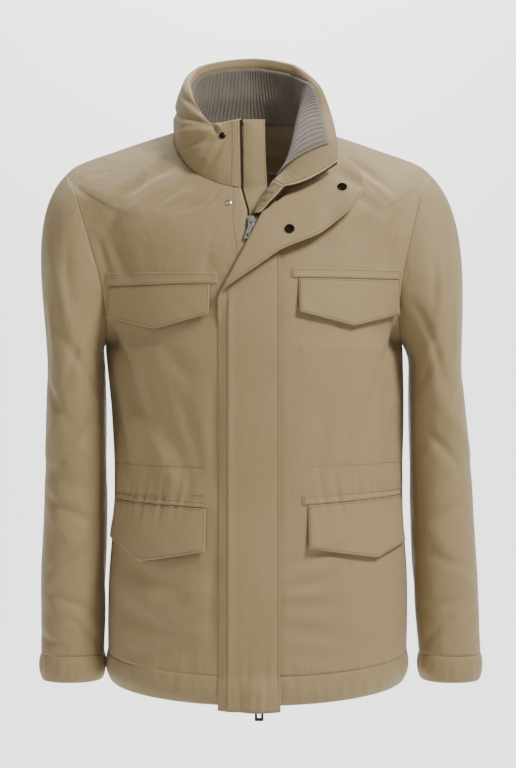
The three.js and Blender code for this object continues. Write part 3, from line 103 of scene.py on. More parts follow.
# Folds and creases: a line from (x0, z0) to (x1, z1), its half-width and height, a trough if
# below zero. The folds are the solid's own.
CREASE_DEPTH = 1.9
FRONT_FOLDS = table("x0 z0 x1 z1 wide high",
    (-196, -170, -176, -360, 16, -4),
    (196, -180, 180, -350, 16, -4),
    (-110, 0, -190, -110, 20, 2.5),
    (120, -10, 200, -120, 20, 2.5),
    (-190, -300, -110, -420, 22, 3),
    (190, -300, 120, -420, 22, 3))
BACK_FOLDS = table("x0 z0 x1 z1 wide high",
    (-185, -240, -120, -410, 22, 4),
    (185, -240, 125, -400, 22, 4),
    (-70, -330, 60, -400, 24, -3),
    (0, 40, 0, -40, 26, -2.5))
FRONT_CREASES = table("x0 z0 x1 z1 wide high",
    # from the right armpit and down the right side
    (-200, -215, -176, -262, 8, -3.4),
    (-186, -232, -160, -322, 9, -4.4),
    (-172, -258, -124, -396, 13, -4.2),
    (-160, -250, -138, -318, 8, 2.2),
    (-192, -296, -170, -402, 9, -4.6),
    (-140, -286, -84, -412, 14, -3),
    (-150, -330, -108, -410, 9, 2.4),
    (-98, -300, -66, -404, 11, -2.2),
    (-120, -236, -84, -284, 12, -1.6),
    # round the right shoulder and neck
    (-84, 14, -152, -34, 7, -2.2),
    (-70, -14, -140, -62, 6, -1.6),
    (-100, -6, -170, -46, 6, 1.2),
    (-120, 4, -190, -58, 8, -2.2),
    (-150, -30, -196, -86, 8, -2.4),
    (-62, -60, -46, -42, 3, -1.6),
    (-64, -66, -50, -50, 2.5, 1.2),
    (-104, -68, -62, -52, 4, -1.3),
    (-118, -62, -80, -50, 5, -0.9),
    (-186, -96, -162, -150, 10, -2.6),
    (-206, -100, -190, -150, 7, -2),
    # from the left armpit and down the left side
    (200, -205, 178, -258, 8, -3),
    (182, -240, 160, -300, 9, -3),
    (180, -262, 170, -396, 9, -3.8),
    (160, -292, 146, -404, 9, -2.9),
    (190, -322, 178, -406, 7, -3),
    (134, -316, 110, -402, 12, -2.1),
    (96, -310, 82, -406, 12, -1.5),
    # left shoulder
    (126, 10, 178, -30, 7, -2),
    (108, -26, 170, -66, 8, -1.8),
    (140, -8, 190, -56, 6, 1.2),
    (152, -56, 128, -116, 12, -2.2),
    (186, -70, 168, -134, 9, -2.4),
    (100, -70, 84, -122, 12, -1.3),
    # under the waist
    (-180, -516, -96, -562, 15, -2.6),
    (-120, -550, -52, -520, 12, -2.4),
    (-184, -578, -84, -624, 14, -2.5),
    (-110, -606, -50, -578, 10, -2),
    (-90, -560, -52, -552, 7, 1.4),
    (-160, -642, -74, -632, 9, -1.5),
    (44, -522, 110, -500, 9, -2.7),
    (42, -548, 100, -538, 8, -2.7),
    (42, -574, 116, -570, 9, -2.5),
    (44, -600, 132, -618, 11, -2.4),
    (42, -560, 84, -556, 5, 1.4),
    (42, -632, 112, -640, 9, -1.6),
    (184, -556, 122, -602, 14, -2.3),
    (176, -616, 96, -640, 10, -1.6),
    # beside the storm flap
    (-52, -290, -50, -420, 8, -1.6),
    (-54, -466, -54, -640, 9, -1.9),
    (-56, -120, -62, -150, 9, -1.4))
BACK_CREASES = table("x0 z0 x1 z1 wide high",
    (-190, -206, -158, -300, 10, -4),
    (-170, -232, -128, -372, 12, -3.6),
    (188, -210, 160, -296, 10, -4),
    (172, -236, 138, -382, 12, -3.3),
    (-112, -262, -64, -396, 13, -2.7),
    (118, -286, 76, -400, 12, -2.5),
    (-34, -300, -12, -402, 12, -1.9),
    (40, -316, 34, -404, 11, -1.8),
    (-88, 38, -168, -16, 8, -2),
    (92, 36, 176, -20, 8, -2),
    (-150, -60, -92, -128, 15, -2.4),
    (154, -70, 88, -132, 15, -2.2),
    (-196, -120, -150, -190, 12, -2.6),
    (196, -124, 152, -196, 12, -2.6),
    (-160, -500, -60, -540, 15, -2.2),
    (60, -512, 158, -540, 15, -2.2),
    (-130, -570, -20, -600, 14, -2),
    (20, -580, 140, -612, 14, -2),
    (-176, -620, -90, -636, 9, -1.4),
    (90, -626, 176, -632, 9, -1.4))
GATHER_Z = -424
GATHER_REACH = 34
GATHER_HEIGHT = 1.6
GATHER_FROM = 60
GATHER_PITCH = 15.0  # between two fine gathers
GATHER_FINE = dict(z=-430, reach=30, high=1.7)
WAIST_LINES = (-394, -430)  # heights of the two stitched lines of the waist channel
WAIST_GROOVE = dict(wide=2.2, deep=1.2)
FRONT_ARC = 235  # mm along a row from its middle to its end
SEAM_PUCKERS = dict(band=0.7, band_fade=13, arm=0.8, arm_fade=16, first_row=5.6, last_row=11.3)
BAND_PUFF = 4.0

# Sleeve sections: distance down, middle, half-width across and half-depth
RIGHT_SLEEVE = table("down x y wide deep",
    (268, -239.5, 3, 38, 82),
    (330, -239.5, 5, 40.5, 76),
    (400, -240.5, 9, 41.5, 70),
    (470, -241.5, 9, 42.5, 65),
    (540, -243.5, 4, 43.5, 60),
    (600, -243.5, -1, 43, 55),
    (649, -244, -4, 42, 50))
LEFT_SLEEVE = table("down x y wide deep",
    (268, 244, 3, 34.5, 84),
    (330, 247, 5, 38.5, 78),
    (400, 251.5, 9, 41.5, 70),
    (470, 254.5, 9, 42.5, 65),
    (540, 257.5, 4, 43.5, 60),
    (600, 260.5, -1, 42.5, 55),
    (649, 263.5, -4, 41, 50))
ARM_POINTS = 24
ARM_ROWS = np.array([6, 6.5, 7, 7.5, 8, 8.5, 9, 9 + 1 / 3, 9 + 2 / 3, 10, 10 + 1 / 3, 10 + 2 / 3, 11])
CAP = dict(out=0.75, round=0.35, down=0.62, under=0.3, pull=0.9, even=1.15)  # its curves' ends
SLEEVE_POWER = 0.9  # below 1, a section is fuller than an ellipse
SLEEVE_FOOT = -649
CUFF_DROP = 35.0
CUFF_PUFF = 3.5
SLEEVE_FOLDS = table("x0 z0 x1 z1 wide high",  # x is degrees round, from outside to the front
    (60, -120, 110, -260, 16, 4),
    (100, -300, 30, -380, 15, 3.5),
    (20, -400, 120, -430, 14, -3.5),
    (120, -480, 40, -560, 15, 3),
    (30, -590, 110, -620, 13, -2.5),
    (300, -150, 250, -280, 16, 4),
    (320, -390, 240, -440, 14, -4),
    (240, -500, 310, -580, 15, 3))
SLEEVE_CREASES = table("x0 z0 x1 z1 wide high",
    (40, -70, 70, -150, 9, -2.2),
    (66, -96, 96, -196, 8, -3.4),
    (124, -170, 84, -288, 9, -3.8),
    (66, -216, 146, -300, 9, -3.6),
    (44, -180, 60, -262, 8, 2),
    (22, -280, 92, -342, 8, -3.6),
    (136, -330, 58, -404, 8, -3.6),
    (100, -372, 138, -392, 6, 2),
    (34, -438, 132, -474, 8, -3.8),
    (56, -470, 100, -500, 6, 2.2),
    (118, -512, 30, -546, 8, -3.4),
    (52, -566, 144, -592, 7, -3.6),
    (14, -622, 88, -638, 6, -3.2),
    (92, -600, 152, -636, 6, -3),
    (60, -606, 110, -612, 5, 1.6),
    (328, -212, 268, -330, 10, -3.4),
    (286, -350, 340, -402, 9, -3.2),
    (250, -460, 320, -500, 9, -3.4),
    (340, -560, 262, -608, 8, -3.4),
    (300, -624, 240, -640, 6, -2.6),
    (180, -300, 190, -420, 12, -2.6),
    (172, -520, 200, -590, 9, -2.4))
# Collar stations: 0 right front end, 1 right shoulder, 2 middle back, 3 left shoulder,
# 4 left front end; crest and top edge of its outer face, and its thickness
COLLAR = table("at cx cy cz tx ty tz thick",
    (0, -21, -93, 10, -22, -85, 56, 4),
    (0.35, -58, -86, 14, -56, -78, 53, 5),
    (0.46, -74, -78, 24, -68, -68, 66, 7),
    (0.7, -97, -52, 48, -85, -44, 97, 10),
    (1, -107, 0, 84, -92, -2, 125, 13),
    (1.45, -84, 52, 108, -75, 44, 150, 14),
    (2, -7, 81, 118, -6, 67, 164, 14),
    (2.55, 62, 56, 108, 55, 44, 152, 13),
    (2.85, 78, 24, 100, 75, 16, 134, 11),
    (3.15, 74, -6, 88, 92, -14, 106, 8),
    (3.45, 66, -36, 60, 102, -40, 70, 6),
    (3.75, 64, -88, 12, 108, -74, 30, 5),
    (4, 71, -110, -23, 109, -92, 2, 4))
KNIT = dict(foot=0.06, top=0.87, start=0.1, end=3.8, ribs=96, thick=2.0, rib=0.7, lie=2.1)

# Storm flap
FLAP_SEAM_X = 33.0
FLAP_WIDTH = 78.0
FLAP_EDGE = 13.0
FLAP_FOOT = -704.0
FLAP_TOP = 56.0
HANG_FROM = -684.0
FLAP_THICK = 2.0
FOLD_FOOT = (-41.0, -183.0)
FOLD_RISE = (0.439, 0.898)
FOLD_RADIUS = (4.5, 2.6)
FOLD_LENGTH = 100.0
FOLD_TURN = math.pi - 0.14
FLAP_LIFT = 2.9
FLAP_SLOPE = 3.0
FLAP_TRIM = dict(z=-80.0, slope=0.85)
FLAP_SAG = dict(most=16.0, start=80.0, over=55.0, end=225.0, fade=50.0, wide=34.0)
FLAP_GROOVES = ((3.2, 1.6, 0.7), (FLAP_WIDTH - 10.5, 1.5, 0.6))  # place, half-width and depth
FLAP_CORNER = dict(drop=9, tall=30, wide=16)  # rounding of its free top corner
FLAP_BUMP = dict(x=6.8, wide=22.0, high=7.0, z=-655.0, over=28.0)

# Pockets
POCKETS = [
    dict(name="chest_right", left=-191, right=-56, left_top=-162, right_top=-162,
         left_foot=-200, right_foot=-200, point_x=-125, point=-218,
         band=(-195, -47, -144, -146)),
    dict(name="chest_left", left=57, right=193, left_top=-154, right_top=-153,
         left_foot=-197, right_foot=-195, point_x=126, point=-214,
         band=(47, 195, -140, -139)),
    dict(name="hip_right", left=-186, right=-61, left_top=-441, right_top=-448,
         left_foot=-492, right_foot=-503, point_x=-144, point=-519,
         band=(-185, -58, -431, -438)),
    dict(name="hip_left", left=69, right=195, left_top=-444, right_top=-436,
         left_foot=-499, right_foot=-496, point_x=157, point=-514,
         band=(61, 196, -431, -425)),
]
LIE = 0.7
BAND_THICK = 0.5
POCKET_STAND = 5.0
POCKET_SWELL = 0.72
BAND_TALL = 0.016  # metres

# Zip
TAPE_WIDE = 3.0
TAPE_OPEN = 4.5
TAPE_THICK = 1.6
ZIP_OPEN_Z = -76.0  # above it the zip is open
ZIP_OPENING = 12.0
TOOTH_PITCH = 2.1
TOOTH = dict(half=1.3, tall=0.62, sunk=-2.5, proud=0.9)

# Wind flap
WIND = dict(left=-14.0, right_foot=26.0, right_top=14.5, foot=-640.0, top=57.0, back=1.4, neck=5.0)
LINING_REACH = 0.5
LINING_GAP = 2.0

STITCH = dict(long=2.6, pitch=4.2, radius=0.42, lift=0.15)


# Numbers and curves

def smooth(x):
    """3k^2 - 2k^3 of x held between 0 and 1."""
    k = np.clip(x, 0, 1)
    return k * k * (3 - 2 * k)


def mix(a, b, k):
    """a + (b - a) k."""
    return a + (b - a) * k


def unit(v):
    """v divided by its length."""
    return v / np.maximum(np.linalg.norm(v, axis=-1, keepdims=True), 1e-9)


def travelled(line):
    """Distance along a line of points, at each of them."""
    return np.concatenate([[0], np.cumsum(np.linalg.norm(np.diff(line, axis=0), axis=1))])


def read_line(line, length, at):
    """A line's values at the distances at, by linear interpolation."""
    return np.stack([np.interp(at, length, line[:, i]) for i in range(line.shape[1])], -1)


def column(rows, name, place, key=None):
    """A table's column at a place: Hermite cubics through its rows, straight beyond its ends."""
    values = rows[name]
    at = rows[key] if key else np.arange(len(values), dtype=float)
    slope = np.empty_like(values)
    slope[1:-1] = (values[2:] - values[:-2]) / (at[2:] - at[:-2])
    slope[0] = (values[1] - values[0]) / (at[1] - at[0])
    slope[-1] = (values[-1] - values[-2]) / (at[-1] - at[-2])
    place = np.asarray(place, float)
    i = np.clip(np.searchsorted(at, place, side="left") - 1, 0, len(at) - 2)
    step = at[i + 1] - at[i]
    raw = (place - at[i]) / step
    s = np.clip(raw, 0, 1)
    s2, s3 = s * s, s * s * s
    inside = ((2 * s3 - 3 * s2 + 1) * values[i] + (s3 - 2 * s2 + s) * step * slope[i]
              + (3 * s2 - 2 * s3) * values[i + 1] + (s3 - s2) * step * slope[i + 1])
    before = np.minimum(raw, 0) * step * slope[i]
    after = np.maximum(raw - 1, 0) * step * slope[i + 1]
    return inside + before + after


def sway(z):
    """Sideways lean of the jacket at height z."""
    return column(SWAY, "x", np.clip(z, -700, 60), "z")


def body_form(rows, side, u, row):
    """Cubic Bezier across a row: from its middle (u 0) to its end (u 1)."""
    u, row = np.broadcast_arrays(np.asarray(u, float), np.asarray(row, float))
    end = np.stack([np.where(row > TIP_ROW, column(FRONT, n, row), column(rows, n, row))
                    for n in ("xe", "ye", "ze")], -1)
    middle = np.stack([np.zeros_like(u), column(rows, "yc", row), column(rows, "zc", row)], -1)
    turn = column(rows, "turn", row)
    near = middle + np.stack([CURVE * end[..., 0], 0 * u, 0 * u], -1)
    far = end + CURVE * np.stack([-(1 - turn) * end[..., 0], turn * (middle - end)[..., 1],
                                  turn * (middle - end)[..., 2]], -1)
    k = (1 - u)[..., None]
    w = u[..., None]
    p = k**3 * middle + 3 * k * k * w * near + 3 * k * w * w * far + w**3 * end
    p[..., 0] = side * p[..., 0] + sway(p[..., 2])
    return p


def crease_height(creases, x, z):
    """Sum over creases of height x exp(-(distance / width)^2) x sin along the crease."""
    total = np.zeros_like(x)
    rows = zip(*(creases[n] for n in ("x0", "z0", "x1", "z1", "wide", "high")))
    for x0, z0, x1, z1, wide, high in rows:
        ax, az = x1 - x0, z1 - z0
        s = np.clip(((x - x0) * ax + (z - z0) * az) / (ax * ax + az * az), 0, 1)
        away = np.hypot(x - x0 - s * ax, z - z0 - s * az)
        total += high * np.exp(-((away / wide) ** 2)) * np.sin(np.pi * mix(0.12, 0.88, s))
    return total


def ripple(t, pitch, seed):
    """Uneven wave along t: three sines of unlike pitch added up, about -1 to 1."""
    a = np.sin(2 * np.pi * t / pitch + seed)
    b = np.sin(2 * np.pi * t / (pitch * 1.73) + 2.1 * seed)
    c = np.sin(2 * np.pi * t / (pitch * 0.61) + 3.7 * seed)
    return 0.5 * a + 0.35 * b + 0.25 * c


def body_relief(half, p, u, row):
    """Creases, waist gathers and seam puckers of the body, in mm outward."""
    front = half == "front"
    x, z = p[..., 0], p[..., 2]
    height = crease_height(FRONT_FOLDS if front else BACK_FOLDS, x, z)
    height += crease_height(FRONT_CREASES if front else BACK_CREASES, x, z) * CREASE_DEPTH
    near_waist = np.exp(-2 * ((z - GATHER_Z) / GATHER_REACH) ** 2)
    aside = smooth((np.abs(x) - GATHER_FROM) / 30) if front else 1.0
    height += 0.4 * GATHER_HEIGHT * np.cos(np.pi * u * (COARSE if front else 8)) * near_waist * aside
    fine = GATHER_FINE["high"] * np.exp(-(((z - GATHER_FINE["z"]) / GATHER_FINE["reach"]) ** 2))
    height += ripple(u * FRONT_ARC + 0.14 * z, GATHER_PITCH, 1.3 + np.sign(x)) * fine * aside
    channel = sum(np.exp(-(((z - line) / WAIST_GROOVE["wide"]) ** 2)) for line in WAIST_LINES)
    height -= WAIST_GROOVE["deep"] * channel * aside
    # puckers beside the band seam, the armhole and the shoulder seam
    puckers = SEAM_PUCKERS
    above_band = (row - BAND_ROW) * 38
    height += puckers["band"] * ripple(x, 19, 0.7) * np.exp(-np.abs(above_band) / puckers["band_fade"])
    to_arm = (1 - u) * 150
    armhole = smooth((row - puckers["first_row"]) * 2) * smooth((puckers["last_row"] - row) * 2)
    height += puckers["arm"] * ripple(z, 23, 2.2) * np.exp(-to_arm / puckers["arm_fade"]) * armhole
    return height * smooth((1 - u) * 8) * smooth((NECK_ROW - row) * 1.5)


def band_puff(row):
    """How far the turned hem band bulges: a flattened half sine over its height."""
    return BAND_PUFF * np.sin(np.pi * np.clip(row, 0, 1)) ** 0.7


def body_point(half, side, u, row):
    """Body form moved out by its relief, and by the hem band's bulge in a level direction."""
    rows = FRONT if half == "front" else BACK
    here = body_form(rows, side, u, row)
    across = body_form(rows, side, np.asarray(u) + 0.02, row) - here
    up = body_form(rows, side, u, np.asarray(row) + 0.05) - here
    facing = np.asarray(side) * (1 if half == "front" else -1)
    out = unit(np.cross(across, up) * np.expand_dims(facing * np.ones(here.shape[:-1]), -1))
    level = unit(out * np.array([1, 1, 0]))
    uu, rr = np.broadcast_arrays(np.asarray(u, float), np.asarray(row, float))
    relief = body_relief(half, here, uu, rr)
    band = band_puff(rr) + 0.8 * ripple(here[..., 0], 17, 4.1) * np.sin(np.pi * np.clip(rr, 0, 1))
    return here + out * relief[..., None] + level * band[..., None]


def on_front(x, z, lift=0.0):
    """Place on the front over x and z, by Newton's steps on the smooth form, moved out by lift."""
    x, z, lift = np.broadcast_arrays(np.asarray(x, float), np.asarray(z, float), np.asarray(lift, float))
    side = np.where(x - sway(z) >= 0, 1.0, -1.0)
    u = np.clip(np.abs(x - sway(z)) / 200 * 0.65, 0.01, 0.95)
    row = np.interp(z, FRONT["zc"], np.arange(len(FRONT["zc"])))

    for _ in range(7):
        p = body_form(FRONT, side, u, row)
        pu = body_form(FRONT, side, u + 0.002, row) - p
        pr = body_form(FRONT, side, u, row + 0.01) - p
        det = pu[..., 0] * pr[..., 2] - pu[..., 2] * pr[..., 0]
        dx, dz = x - p[..., 0], z - p[..., 2]
        du = np.clip((dx * pr[..., 2] - dz * pr[..., 0]) / det, -120, 120)
        dr = np.clip((pu[..., 0] * dz - pu[..., 2] * dx) / det, -150, 150)
        u = np.clip(u + 0.002 * du, -0.06, 0.97)
        row = np.clip(row + 0.01 * dr, -0.2, 13.2)
    p = body_point("front", side, u, row)
    across = body_form(FRONT, side, u + 0.02, row) - body_form(FRONT, side, u, row)
    up = body_form(FRONT, side, u, row + 0.05) - body_form(FRONT, side, u, row)
    out = unit(np.cross(across, up) * side[..., None])
    return p + out * lift[..., None], out


# Meshes

def directions(grid, away, ring=False):
    """Unit directions off a grid, from the cross product of its two slopes, on the side of away."""
    if ring:
        wide = np.concatenate([grid[:, -2:], grid, grid[:, :2]], 1)
        out = np.cross(np.gradient(wide, axis=0), np.gradient(wide, axis=1))[:, 2:-2]
    else:
        out = np.cross(np.gradient(grid, axis=0), np.gradient(grid, axis=1))
    out = unit(out)
    return out if np.sum(out * away) > 0 else -out


def quads(rows, cols, start, ring=False, turned=False):
    """Faces of a grid of points numbered row by row from start."""
    wide = cols if ring else cols - 1
    i, j = np.meshgrid(np.arange(rows - 1), np.arange(wide), indexing="ij")
    k = (j + 1) % cols
    a, b = i * cols + j, i * cols + k
    c, d = (i + 1) * cols + k, (i + 1) * cols + j
    faces = np.stack([a, d, c, b] if turned else [a, b, c, d], -1).reshape(-1, 4)
    return faces + start


def make_mesh(name, points, faces, marks=None, finishes=None, attributes=None):
    """A smooth-shaded object from points in mm and faces, with a finish number for each face."""
    mesh = bpy.data.meshes.new(name)
    mesh.from_pydata((points * MM).tolist(), [], [list(map(int, f)) for f in faces])
    mesh.polygons.foreach_set("use_smooth", np.ones(len(mesh.polygons), bool))
    for values, key in ((values, key) for key, values in (attributes or {}).items()):
        mesh.attributes.new(key, "FLOAT", "POINT").data.foreach_set("value", values.astype(np.float32))
    thing = bpy.data.objects.new(name, mesh)
    bpy.context.scene.collection.objects.link(thing)
    for finish in finishes or []:
        mesh.materials.append(finish)
    if marks is not None:
        mesh.polygons.foreach_set("material_index", marks.astype(np.int32))
    mesh.update()
    return thing


def orient(points, faces):
    """Faces turned round as a whole if the solid they close has a volume below zero."""
    a, b, c, d = (points[faces[:, i]] for i in range(4))
    volume = np.sum(a * np.cross(b, c)) + np.sum(a * np.cross(c, d))
    return faces if volume > 0 else faces[:, ::-1]


def cloth(name, outer, inner, finishes, ring=False, attributes=None):
    """A closed wall between two grids of points: its outside and rims take the first finish, its
    inside the second."""
    rows, cols = outer.shape[:2]
    count = rows * cols
    sets = [quads(rows, cols, 0, ring), quads(rows, cols, count, ring, turned=True)]
    j = np.arange(cols if ring else cols - 1)
    k = (j + 1) % cols
    last = (rows - 1) * cols
    sets.append(np.stack([j, j + count, k + count, k], -1))
    sets.append(np.stack([last + j, last + k, last + k + count, last + j + count], -1))
    if not ring:
        i = np.arange(rows - 1) * cols
        sets.append(np.stack([i, i + cols, i + cols + count, i + count], -1))
        e = i + cols - 1
        sets.append(np.stack([e, e + count, e + cols + count, e + cols], -1))
    faces = np.concatenate(sets)
    points = np.concatenate([outer.reshape(-1, 3), inner.reshape(-1, 3)])
    marks = np.zeros(len(faces))
    marks[len(sets[0]):len(sets[0]) + len(sets[1])] = 1
    doubled = {key: np.concatenate([v.ravel(), v.ravel()]) for key, v in (attributes or {}).items()}
    return make_mesh(name, points, orient(points, faces), marks, finishes, doubled)


def wall(name, grid, away, thickness, finishes, ring=False):
    """Cloth of a thickness behind a grid of points."""
    out = directions(grid, away, ring)
    return cloth(name, grid, grid - out * thickness, finishes, ring)


# Finishes

class Socket:
    """A shader value: arithmetic on it adds Math nodes to its tree."""

    def __init__(self, tree, link):
        self.tree = tree
        self.link = link

    def maths(self, operation, *values):
        node = self.tree.nodes.new("ShaderNodeMath")
        node.operation = operation
        for place, value in zip(node.inputs, values):
            if isinstance(value, Socket):
                self.tree.links.new(value.link, place)
            else:
                place.default_value = value
        return Socket(self.tree, node.outputs[0])

    def __add__(self, other):
        return self.maths("ADD", self, other)

    def __sub__(self, other):
        return self.maths("SUBTRACT", self, other)

    def __rsub__(self, other):
        return self.maths("SUBTRACT", other, self)

    def __mul__(self, other):
        return self.maths("MULTIPLY", self, other)

    __radd__ = __add__
    __rmul__ = __mul__


class Finish:
    """A material and the short ways to add nodes to it."""

    def __init__(self, name, colour, roughness, **constants):
        self.material = bpy.data.materials.new(name)
        self.material.use_nodes = True
        self.tree = self.material.node_tree
        self.shader = self.tree.nodes["Principled BSDF"]
        self.colour = (*colour, 1.0)
        self.shader.inputs["Base Color"].default_value = self.colour
        self.shader.inputs["Roughness"].default_value = roughness
        for key, value in constants.items():
            self.shader.inputs[key.replace("_", " ")].default_value = value
        self.place = self.node("ShaderNodeTexCoord").outputs["Object"]

    def node(self, kind, settings=None, **inputs):
        made = self.tree.nodes.new(kind)
        for key, value in (settings or {}).items():
            setattr(made, key, value)
        for key, value in inputs.items():
            socket = made.inputs[key.replace("_", " ")]
            value = value.link if isinstance(value, Socket) else value
            if isinstance(value, bpy.types.NodeSocket):
                self.tree.links.new(value, socket)
            else:
                socket.default_value = value
        return made

    def noise(self, scale, detail=3.0, stretch=(1, 1, 1), roughness=0.5):
        """Noise of about 0 to 1 whose grains are 1/scale metres apart, stretched by axis."""
        turned = self.node("ShaderNodeMapping", Vector=self.place, Scale=stretch)
        made = self.node("ShaderNodeTexNoise", Vector=turned.outputs[0], Scale=scale, Detail=detail,
                         Roughness=roughness)
        return Socket(self.tree, made.outputs[0])

    def value(self, name):
        return Socket(self.tree, self.node("ShaderNodeAttribute", {"attribute_name": name}).outputs["Fac"])

    def tint(self, factor, darker, lighter):
        """Base colour between two shares of the finish's colour."""
        low = tuple(c * darker for c in self.colour[:3]) + (1.0,)
        high = tuple(min(1.0, c * lighter) for c in self.colour[:3]) + (1.0,)
        made = self.node("ShaderNodeMix", {"data_type": "RGBA"})
        self.tree.links.new(factor.link, made.inputs[0])
        made.inputs[6].default_value = low
        made.inputs[7].default_value = high
        self.tree.links.new(made.outputs[2], self.shader.inputs["Base Color"])

    def bump(self, height, depth, strength=1.0):
        """Relief of depth metres where height goes from 0 to 1."""
        made = self.node("ShaderNodeBump", Height=height, Distance=depth, Strength=strength)
        self.tree.links.new(made.outputs[0], self.shader.inputs["Normal"])

    def rough(self, value):
        self.tree.links.new(value.link, self.shader.inputs["Roughness"])


def woven(name, colour, roughness, wrinkle, sheen=0.15):
    """Tightly woven cloth: fine weave, faint slubs, soft wrinkles and uneven tone."""
    made = Finish(name, colour, roughness, Sheen_Weight=sheen, Sheen_Roughness=0.5, Specular_IOR_Level=0.35)
    weave = made.noise(1500, 2)
    slubs = made.noise(260, 2, (1, 1, 0.12))
    soft = made.noise(26, 4, (1, 1, 0.75), 0.55)
    tone = made.noise(9, 3)
    made.tint(tone * 0.5 + slubs * 0.25 + weave * 0.25, 0.9, 1.1)
    made.bump(soft * wrinkle + slubs * 0.06 + weave * 0.05, 0.004)
    made.rough(soft * 0.14 + (roughness - 0.07))
    return made.material


def linear(red, green, blue):
    """Scene colour of an sRGB colour of 0 to 255."""
    part = [c / 255 for c in (red, green, blue)]
    return tuple(c / 12.92 if c <= 0.04045 else ((c + 0.055) / 1.055) ** 2.4 for c in part)


KHAKI = woven("khaki cotton shell", linear(158, 137, 98), 0.66, 0.8)
KHAKI_FLAP = woven("khaki flap cloth", linear(159, 138, 99), 0.66, 0.4)
FACING = woven("khaki facing", linear(148, 128, 92), 0.66, 0.8)
LINING = woven("brown lining", linear(152, 134, 106), 0.5, 1.1, 0.05)
TAPE = woven("woven zip tape", linear(192, 172, 130), 0.8, 0.2)


def knitted():
    """Ribbed wool knit: heathered tone, blotches and fuzz, with painted shade from the rib attribute that
    darkens the colour between the ribs and lightens their crests.
    """
    made = Finish("heather rib knit", linear(122, 112, 100), 0.95, Sheen_Weight=0.4, Specular_IOR_Level=0.2)
    fuzz = made.noise(900, 4, roughness=0.7)
    heather = made.noise(420, 3, (1, 1, 0.5))
    # painted shade: the rib attribute darkens the knit between its ribs and lightens it on their crests
    painted_rib_shade = made.value("rib")
    blotch = made.noise(120, 3, (1, 1, 0.5))
    made.tint(heather * 0.4 + fuzz * 0.25 + blotch * 0.3 + painted_rib_shade * 0.14, 0.4, 1.5)
    made.bump(fuzz * 0.6 + heather * 0.4, 0.0014)
    return made.material


def metal(name, colour, roughness, metallic, scratches=0.3):
    """Cast metal: clouded roughness and faint scratches."""
    made = Finish(name, colour, roughness, Metallic=metallic)
    cloud = made.noise(420, 4)
    lines = made.noise(900, 2, (0.15, 1, 1))
    made.rough(cloud * 0.18 + (roughness - 0.08))
    made.tint(cloud, 0.85, 1.1)
    made.bump(lines * scratches + cloud * 0.3, 0.0002)
    return made.material


RIB_KNIT = knitted()
STEEL = metal("bright zip metal", (0.62, 0.61, 0.58), 0.3, 1.0)
BRONZE = metal("dark polished snap", (0.035, 0.024, 0.017), 0.22, 0.8)
BLACK = metal("black enamel", (0.012, 0.012, 0.012), 0.35, 0.3)
TEETH = metal("antique zip teeth", (0.045, 0.034, 0.026), 0.4, 0.55)
# thread darker than the shell: partly its own tone, partly painted shade standing in for the dimples beside
# the stitches
THREAD_WITH_PAINTED_SHADE = woven("khaki thread", linear(104, 90, 66), 0.75, 0.1)


def sheet(thing, flat, replaced=()):
    """Ties a cloth piece to the jacket's body and hides the solids it replaces. flat, the cut of what shows
    in metres, is not used.
    """
    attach(thing, "jacket")
    for node in replaced:
        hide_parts(node)


# Shell of the body

def start_of(edge, row):
    """Share across a front's row at which it starts: Newton's steps towards the edge's x."""
    x = column(edge, "x", row, "row")
    u = np.zeros_like(row)

    def place(k):
        p = body_form(FRONT, 1, k, row)
        return p[..., 0] - sway(p[..., 2])

    for _ in range(12):
        slope = (place(u + 0.01) - place(u)) / 0.01
        u = u + (x - place(u)) / slope
    return u


def right_lines(rows, columns):
    """Right front: rows of points from its zip edge out."""
    start = -start_of(RIGHT_EDGE, rows)
    s = np.linspace(0, 1, columns)
    return body_point("front", -1, mix(start[:, None], 1, s[None]), rows[:, None])


def left_lines(rows, turned_columns, columns):
    """Left front: its zip edge, the roll (a bulged line from the zip to the body), then the body."""
    start = start_of(LEFT_EDGE, rows)
    turned = np.clip((rows - TURN_FROM) / (NECK_ROW - TURN_FROM), 0, 1)[:, None]
    base = body_point("front", 1, start, rows)
    following = body_point("front", 1, mix(start, 1, 1 / COARSE), rows)
    flat = base + unit(following - base) * TURN_LAY
    zip_x = mix(*TURN_ZIP["x"], turned[:, 0])
    zip_z = mix(*TURN_ZIP["z"], turned[:, 0])
    edge, _ = on_front(zip_x, zip_z, TURN_ZIP["rise"] * turned[:, 0])
    edge = np.where(turned > 0, edge, base)
    share = smooth(turned * 6)
    lines = []
    for k in np.arange(turned_columns) / turned_columns:
        rolled = mix(edge, base, k) + 4 * k * (1 - k) * turned * TURN_BULGE
        lines.append(mix(mix(base, flat, k), rolled, share))
    step = TURN_LAY / np.linalg.norm((following - base) / ((1 - start) / COARSE)[:, None], axis=-1)
    root = start + step * (1 - share[:, 0])
    s = np.linspace(0, 1, columns)
    rest = body_point("front", 1, mix(root[:, None], 1, s[None]), rows[:, None])
    return np.concatenate([np.stack(lines, 1), rest], 1)


def back_lines(rows, columns):
    """Back: from its right side seam to its left."""
    u = np.linspace(0, 1, columns)
    right = body_point("back", -1, u[None, ::-1], rows[:, None])
    left = body_point("back", 1, u[None, 1:], rows[:, None])
    return np.concatenate([right, left], 1)


def dense(table_rows, per_row):
    return np.concatenate([np.linspace(a, b, per_row, endpoint=False) for a, b in
                           zip(table_rows[:-1], table_rows[1:])] + [table_rows[-1:]])


SHELL_ROWS = dense(np.arange(BAND_ROW, NECK_ROW + 1.0), 18)
HEM_ROWS = np.linspace(0, BAND_ROW, 22)
FRONT_STEPS = 90
TURN_STEPS = 22
FACING_COLUMNS = 14  # of the body, lined with its own khaki
outward = np.array([1, 1.3, 0])


